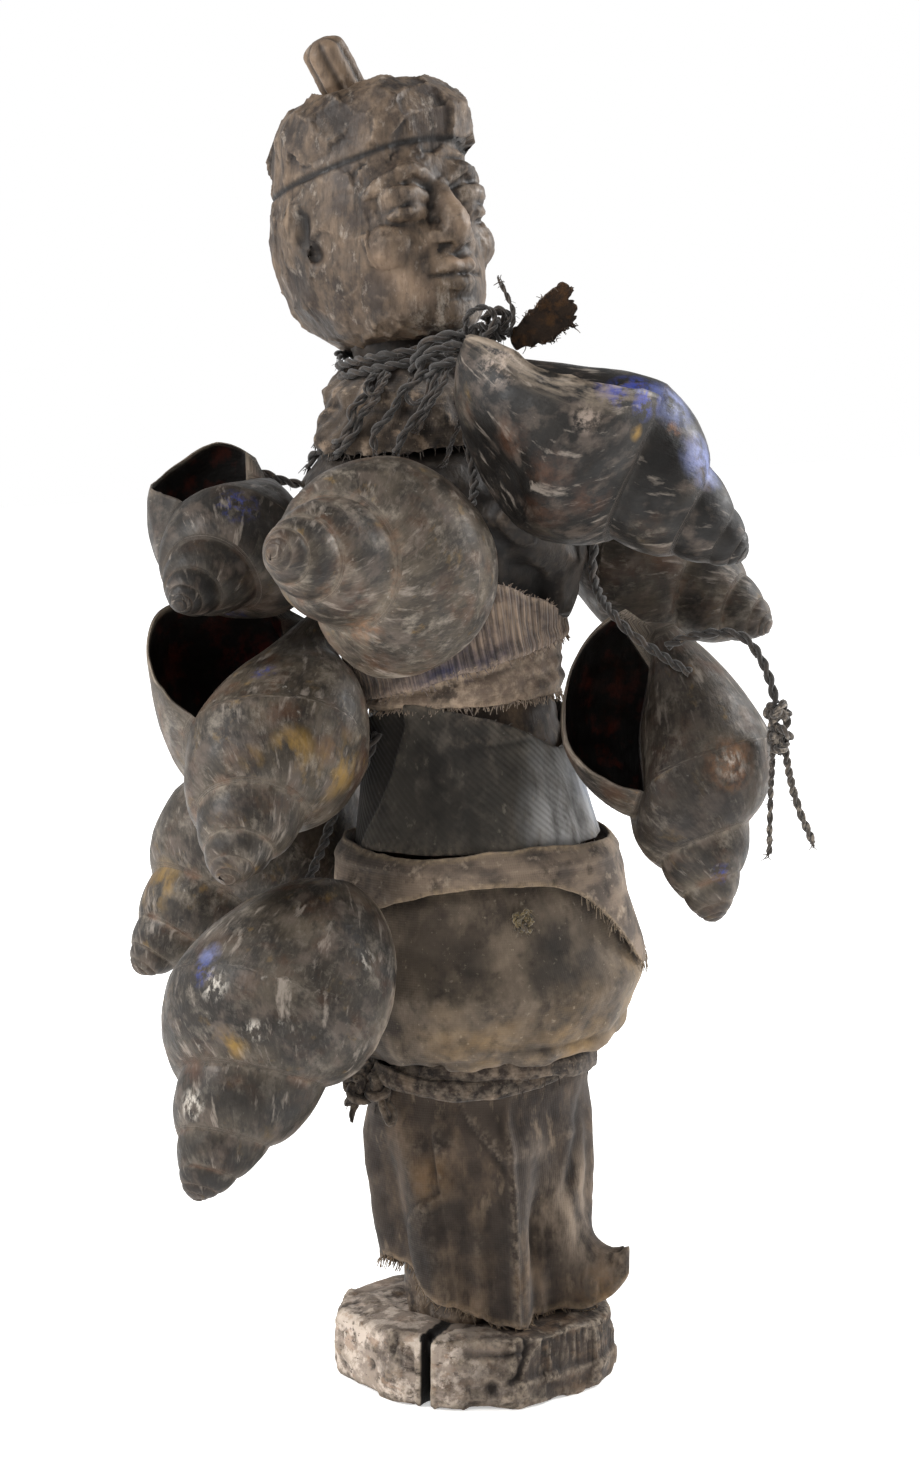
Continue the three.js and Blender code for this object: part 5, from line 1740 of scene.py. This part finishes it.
torsoCloth = {
    "low": lambda a: 206.6,
    "high": lambda a: 250.8 + 5 * slant(a, -30) - 14 * hump(a, -52, 30) + 11 * hump(a, -150, 42),
    "out": lambda a, z: -0.3 + 0.5 * np.sin(4 * a + z / 16),
    "folds": lambda a, z: (
        0.9 * stepAt(a, lapEdge(z), 0.8) * (1 - stepAt(a, -80, 60))
        - 0.8 * ridge(a, -72 + 0.1 * (z - 230), 3.2) * smoothDown(z, 246, 226)
        + 0.7 * ridge(a, -63 + 0.1 * (z - 230), 4) * smoothDown(z, 246, 226)
        - 0.9 * ridge(a, -53 + 0.1 * (z - 230), 3.6) * smoothDown(z, 246, 222)
        + 0.6 * ridge(a, -44, 4) * smoothDown(z, 246, 226)
        - 0.5 * ridge(a, -118, 5) * smoothDown(z, 232, 212)
        - 0.6 * np.exp(-((z - 243.5 - 3 * slant(a, -30)) / 0.9) ** 2) * ridge(a, -95, 24)
        + 0.5 * np.exp(-((z - 246 - 3 * slant(a, -30)) / 1.8) ** 2) * ridge(a, -95, 30)
    ),
    # painted shade on the cloth that lies under the lap edge
    "under": lambda a, z: 1 - stepAt(a, lapEdge(z), 1.0),
    "thickness": 2.0, "levels": 38, "crumple": 0.22, "crumpleSize": 12, "ragHigh": 0.6,
    "fringeHigh": 60, "fringeLength": 1.6, "radius": 42,
}

lowerBand = {
    "low": lambda a: 258.6 + 1.5 * slant(a, -30),
    "high": lambda a: 269 + 11 * slant(a, -30),
    "out": lambda a, z: 0.2 + 0.5 * np.sin(6 * a),
    "folds": lambda a, z: (
        0.45 * np.sin((z - 9 * slant(a, -30)) * 0.75 + 1.5 * np.sin(2 * a))
        + 1.0 * np.exp(-((z - 262 - 4 * slant(a, -30)) / 2.0) ** 2)
        - 0.9 * np.exp(-((z - 266.5 - 7 * slant(a, -30)) / 1.5) ** 2)
    ),
    "thickness": 2.4, "levels": 26, "crumple": 0.5, "crumpleSize": 6, "ragLow": 1.0, "ragHigh": 1.0,
    "fringeLow": 420, "fringeHigh": 320, "fringeLength": 2.0, "radius": 40, "wornEdge": 4,
}

chestBand = {
    "low": lambda a: 268.6 + 11 * slant(a, -30),
    "high": lambda a: 287.5 + 9 * slant(a, -30) + 12 * hump(a, -98, 28) - 8 * hump(a, -30, 25),
    "out": lambda a, z: 1.4 + 0.5 * np.sin(5 * a + 2),
    "folds": lambda a, z: (
        0.3 * np.sin(a * 88) + 0.8 * smoothStep(4, 0, np.abs(z - 270.5 - 11 * slant(a, -30)))
        - 0.7 * ridge(a, -66, 4)
    ),
    "thickness": 2.8, "levels": 28, "crumple": 0.4, "crumpleSize": 8, "ragLow": 0.9, "ragHigh": 0.8,
    "fringeLow": 160, "fringeHigh": 160, "fringeLength": 1.6, "radius": 42, "wornEdge": 3,
}

neckCloth = {
    "low": lambda a: 351 + 1.5 * np.sin(3 * a),
    "high": lambda a: 381 + 2 * slant(a, -30),
    "out": lambda a, z: (
        (1.5 + 1.8 * np.sin(4 * a + z / 9)) * smoothStep(350, 358, z) + 1.5 * smoothStep(356, 366, z)
        - 8.5 * smoothStep(370, 379, z) - 1.5 * smoothDown(z, 356, 350)
    ),
    "folds": lambda a, z: 0.9 * np.sin(11 * a + z / 3) + 0.5 * np.sin(23 * a - z / 4),
    "thickness": 3.0, "levels": 28, "crumple": 1.1, "crumpleSize": 7, "ragLow": 2.0, "ragHigh": 0.6,
    "fringeLow": 120, "fringeLength": 2.4, "radius": 36,
}

plainWeave = [{"wave": "X", "size": 0.9, "height": 0.035}, {"wave": "Y", "size": 0.9, "height": 0.035}]
twillWeave = [{"wave": "DIAGONAL", "size": 1.5, "height": 0.16, "warp": 0.5}]   # real twill is finer, 0.7 mm
knitWeave = [{"wave": "Y", "size": 0.9, "height": 0.06}]
ribWeave = [{"wave": "X", "size": 1.15, "height": 0.16, "warp": 0.3}]

skirtMaterial = layeredMaterial("stiffenedSkirtCotton", clothSkin("#3d342d", [
    coat("#221b17", 24, 0.44, 0.58, 0.8, detail=6),
    coat("#6c5a49", 20, 0.5, 0.66, 0.75, stretch=(1, 1, 0.6), detail=6),
    coat("#9a8978", 8, 0.4, 0.62, 0.7, stretch=(1, 1, 0.4), detail=8,
         spots=[((26, -40, 66), 30), ((38, -24, 52), 26), ((10, -48, 92), 16)]),
    coat("#8c7a66", 7, 0.58, 0.72, 0.6, stretch=(1, 1, 0.4), detail=8),
    coat("#1c1715", 5, 0.55, 0.7, 0.7, stretch=(1, 1, 0.3), shift=3, detail=6),
    coat("#1d1916", 14, 0.32, 0.56, 0.7, detail=6,
         spots=[((-46, -20, 72), 38), ((-18, -46, 62), 26), ((-38, -24, 50), 20), ((6, -46, 58), 12)]),
    coat("#7d5f3c", 7, 0.4, 0.6, 0.6, detail=8,
         spots=[((-2, -52, 46), 16), ((30, -44, 36), 14), ((-40, -30, 84), 14)]),
    coat("#927b60", 2, 0.3, 0.6, 0.6, where="worn"),
], plainWeave, 0.35))
hipMaterial = layeredMaterial("paddedHipCotton", clothSkin("#4f453b", [
    coat("#27211d", 34, 0.42, 0.6, 0.75, detail=5),
    coat("#9a7e58", 24, 0.44, 0.66, 0.65, stretch=(1, 1, 1.5), detail=6,
         spots=[((15, -48, 134), 32), ((-30, -46, 130), 30), ((-14, -48, 128), 26),
                ((40, -30, 146), 34)]),
    coat("#8a7a68", 16, 0.46, 0.7, 0.6, stretch=(1, 1, 0.6), detail=9),
    # painted light: paler patches on the figure's left side, where the light falls
    coat("#9a8973", 14, 0.3, 0.6, 0.6, detail=6, spots=[((46, -24, 172), 26), ((44, -30, 150), 22)]),
    # painted shade: dark patches on the front and beside the hip shell
    coat("#1b1a18", 14, 0.3, 0.56, 0.65, detail=6, spots=[((4, -54, 168), 28), ((-32, -42, 160), 20)]),
    coat("#171412", 6, 0.56, 0.7, 0.5, shift=4, detail=8),
    coat("#a39682", 2.4, 0.62, 0.74, 0.4, shift=8, detail=7),
], plainWeave, 0.3))
flapMaterial = layeredMaterial("foldedWaistCotton", clothSkin("#4a413a", [
    coat("#7c6c5d", 16, 0.42, 0.6, 0.8, stretch=(1, 1, 1.6), detail=7),
    coat("#221d19", 9, 0.55, 0.68, 0.7),
    coat("#9f8f7d", 4, 0.56, 0.7, 0.6, detail=8),
    coat("#a08a6c", 2, 0.3, 0.6, 0.45, where="worn"),
], plainWeave, 0.3))
twillMaterial = layeredMaterial("fadedTwillWithPaintedLightAndShade", clothSkin("#3c3832", [
    coat("#1e1b19", 18, 0.48, 0.62, 0.7),
    coat("#575048", 7, 0.52, 0.66, 0.7, stretch=(1, 1, 0.5), detail=7),
    # painted light: pale grey and blue-grey patches on the figure's left side, where the rim light falls
    coat("#a09f9e", 7, 0.3, 0.56, 0.95, stretch=(1, 1, 0.3), detail=9,
         spots=[((30, -22, 226), 36), ((18, -34, 216), 26), ((36, -10, 238), 26)]),
    coat("#8793a3", 9, 0.3, 0.6, 0.7, detail=7, spots=[((37, -12, 226), 22)]),
    coat("#8b8375", 3, 0.63, 0.74, 0.6, stretch=(1, 1, 0.5), detail=8),
    # painted shade: dark over the figure's right side, and near-black on the cloth that lies under the lap
    # edge
    coat("#161412", 8, 0.2, 0.45, 0.75, spots=[((-26, -30, 228), 34)]),
    coat("#1b1815", 2, 0.2, 0.4, 0.85, where="under"),
], twillWeave, 0.2))
bandMaterial = layeredMaterial("frayedBandCotton", clothSkin("#665649", [
    coat("#2b2521", 16, 0.48, 0.62, 0.8, detail=6),
    coat("#a08d79", 5, 0.48, 0.64, 0.75, detail=8, rough=0.66),
    coat("#252c4c", 18, 0.5, 0.6, 0.6, spots=[((-22, -26, 256), 22)]),
    coat("#b09b84", 2, 0.3, 0.6, 0.6, where="worn"),
], plainWeave, 0.5, 0.15))
knitMaterial = layeredMaterial("ribbedKnit", clothSkin("#66584f", [
    coat("#97826f", 8, 0.42, 0.6, 0.85, detail=7),
    coat("#1d2342", 20, 0.4, 0.58, 0.85, detail=6, spots=[((-24, -20, 268), 24), ((-8, -28, 274), 16)]),
    coat("#262120", 9, 0.57, 0.68, 0.7, detail=6),
    # dirt lies between the ribs
    coat("#1f1c20", 1.15, 0.42, 0.56, 0.6, stretch=(1, 0.04, 1), along=True, detail=3),
    coat("#b09a86", 2, 0.3, 0.6, 0.5, where="worn"),
], ribWeave, 0.4, 0.15))
neckMaterial = layeredMaterial("gatheredNeckCotton", clothSkin("#463b31", [
    coat("#241e1a", 10, 0.45, 0.58, 0.85),
    coat("#7d6a58", 6, 0.54, 0.66, 0.8, detail=7),
    coat("#a5947f", 2.4, 0.62, 0.7, 0.5, detail=7),
], plainWeave, 0.7, 0.15))

makeWrap("legCloth", "leg_cloth", legCloth, skirtMaterial, seed=201)
makeWrap("hipCloth", "hip_cloth", hipCloth, hipMaterial, seed=202)
makeWrap("waistFlap", "waist_flap", waistFlap, flapMaterial,
         seed=203)
makeWrap("torsoCloth", "torso_cloth", torsoCloth, twillMaterial,
         seed=204)
makeWrap("lowerBand", "lower_band", lowerBand, bandMaterial, seed=205)
makeWrap("chestBand", "chest_band", chestBand, knitMaterial, seed=206)
makeWrap("neckCloth", "neck_cloth", neckCloth, neckMaterial, seed=207)
print("cloth bands made")

hipTie = {
    "diameter": 9.4,         # millimetres, before it is pressed flat
    "pitch": 170,
    "start": 182,            # degrees, where its ends meet under the knot
    "round": 356,
    "high": 122.3,
    "height": 1.5,           # how much taller than round it is pressed, and how much thinner
    "thin": 0.6,
    # each turn of the knot by its centre, size and tilt
    "knots": [((-49.5, 3, 119.5), (6, 5, 6), (0.2, 0.4)), ((-53.5, -1, 115.5), (5.5, 4.5, 5.5), (1.3, 1.8)),
              ((-46.5, -6, 116.5), (5, 4.5, 5.5), (0.9, 2.6))],
}


def addTied(name, node, verts, faces, values):
    none = np.zeros(len(verts))
    values.update({"under": none, "worn": none})
    values["raised"], values["hollow"] = relief(verts, faces, 10, 0.6)
    rideRoot(addMesh(name, verts, faces, tieMaterial, values), [node])


def makeHipTie():
    points = []
    steps = 42
    for i in range(steps + 1):
        angle = math.radians(hipTie["start"] + hipTie["round"] * i / steps)
        high = hipTie["high"] + 0.7 * math.sin(3 * angle) + 3 * hump(angle, -30, 40)
        points.append(bodyPoint(high, angle, 1.2 - 4.6 * hump(angle, -30, 42)))
    path = smoothPath(points, 1.0)
    parts = twistedStrands(path, hipTie["diameter"], hipTie["pitch"], 14, 0.22, 301)
    parts += hairs(path, 3.4, 160, 302, length=3.0)
    verts, faces, values = joined(parts)
    # the roll lies flat against the body
    near = [int(np.argmin(((path - v) ** 2).sum(axis=1))) for v in verts]
    off = verts - path[near]
    out = path[near] * (1, 1, 0)
    out /= np.linalg.norm(out, axis=1, keepdims=True)
    deep = (off * out).sum(axis=1, keepdims=True)
    verts = verts + (hipTie["thin"] - 1) * deep * out
    verts[:, 2] += (hipTie["height"] - 1) * off[:, 2]
    creases = np.column_stack([values["along"] * 1000 * 0.06, values["across"] * 1000 * 1.4,
                               np.zeros(len(verts))])
    verts = verts + meshNormals(verts, faces) * (0.45 * valueNoise(creases, 1.0, 5)[:, None])
    addTied("hipTie", "hip_tie", verts, faces, values)


def makeHipKnot():
    parts = []
    for k, (place, size, axes) in enumerate(hipTie["knots"]):
        loop = trefoil(place, size, axes)
        parts.append(tube(loop, 2.4 * (1 + 0.25 * layeredNoise(loop, 4, 2, 310 + k)), 12, 0.7))
        parts += hairs(loop, 2.2, 60, 320 + k, length=3.5)
    small = smoothPath([(-47, -9, 114), (-48, -12, 110), (-46, -14, 105), (-44, -13, 108),
                        (-45, -10, 112)], 0.5)
    parts.append(tube(small, 1.3, 8))
    loose = smoothPath([(-53, -2, 113), (-57, -5, 109), (-59, -8, 106)], 0.5)
    parts.append(tube(loose, np.linspace(2.2, 1.0, len(loose)), 8, 0.6))
    verts, faces, values = joined(parts)
    verts = verts + meshNormals(verts, faces) * (0.3 * layeredNoise(verts, 2.5, 2, 330))[:, None]
    addTied("hipKnot", "hip_knot", verts, faces, values)


tieMaterial = layeredMaterial("twistedClothRope", clothSkin("#2d2520", [
    coat("#1a1614", 12, 0.42, 0.56, 0.85),
    coat("#6a5a4b", 8, 0.5, 0.66, 0.7, detail=7),
    coat("#978673", 2.6, 0.62, 0.72, 0.55, detail=7),
], knitWeave, 0.6))
makeHipTie()
makeHipKnot()

strap = {
    "line": [(1.5, -20, 391), (4.5, -27, 396), (8.5, -31.5, 399.5), (12.5, -34.8, 402.5),
             (16.5, -36.8, 404.5)],
    "halfWidth": [4.2, 6.8, 8.4, 9, 7.6],
    "halfThickness": 0.45,
}


def makeStrap():
    step, columns = 0.8, 22
    line = smoothPath(np.column_stack([strap["line"], strap["halfWidth"]]), step)
    rows = len(line)
    across = np.array([-0.35, -0.2, 0.9])
    across /= np.linalg.norm(across)
    lift = np.array([0.5, -0.8, 0])
    s = np.linspace(-1, 1, columns)
    layers = []
    for face in (strap["halfThickness"], -strap["halfThickness"]):
        grid = []
        for i, row in enumerate(line):
            sides = np.column_stack([np.full(columns, i * 0.8), np.sign(s) * 9, np.zeros(columns)])
            rag = 1 + 0.16 * layeredNoise(sides, 3, 3, 7)
            curl = 1.6 * s ** 2 + 0.7 * np.sin(i / 5)
            grid.append(row[:3] + across * (s * row[3] * rag)[:, None] + lift * (curl + face)[:, None])
        layers.append(np.array(grid))
    # the torn end is uneven
    tear = 2.4 * layeredNoise(np.column_stack([np.arange(columns), np.zeros((columns, 2))]), 4, 3, 9)
    ahead = line[-1, :3] - line[-4, :3]
    ahead /= np.linalg.norm(ahead)
    for grid in layers:
        grid[-8:] += ahead * tear[None, :, None] * np.linspace(0, 1, 8)[:, None, None]
    top, bottom = (grid.reshape(-1, 3) for grid in layers)
    n = rows * columns
    index = np.arange(n).reshape(rows, columns)
    faces = []
    for i in range(rows - 1):
        for j in range(columns - 1):
            a, b, c, d = index[i, j], index[i, j + 1], index[i + 1, j + 1], index[i + 1, j]
            faces += [(a, b, c, d), (a + n, d + n, c + n, b + n)]
    rim = list(index[0]) + list(index[1:, -1]) + list(index[-1, :-1][::-1]) + list(index[1:-1, 0][::-1])
    for a, b in zip(rim, rim[1:] + rim[:1]):
        faces.append((b, a, a + n, b + n))
    values = {"along": np.tile(np.repeat(np.arange(rows) * 0.8, columns), 2) * mm,
              "across": np.tile(np.tile(np.arange(columns) * 0.7, rows), 2) * mm,
              "under": np.zeros(2 * n), "worn": np.zeros(2 * n)}
    verts = wavered(np.concatenate([top, bottom]), 0.35, 4, 3, 350)
    piece = addMesh("strapTail", verts, faces, strapMaterial, values)
    rideRoot(piece, ["strap_tail"])
    rng = np.random.default_rng(12)
    threads = []
    s = np.linspace(0, 1, 4)[:, None]
    for _ in range(60):
        i, side = rng.integers(4, rows), rng.choice([0, columns - 1])
        root = layers[0][i, side]
        threads.append(tube(root + rng.normal(size=3) * 0.9 * s + rng.normal(size=3) * s ** 2 * 0.6,
                            np.linspace(0.25, 0.12, 4), 3))
    fringe = addFringe("strapTailFringe", threads, strapMaterial)


strapMaterial = layeredMaterial("scorchedStrapCotton", clothSkin("#32251b", [
    coat("#1c1511", 9, 0.5, 0.62, 0.85),
    coat("#54391f", 5, 0.5, 0.64, 0.7, detail=6),
    coat("#6d5f50", 2, 0.3, 0.6, 0.5, where="worn"),
], plainWeave, 0.5))
makeStrap()
print("tie, knot and strap made")
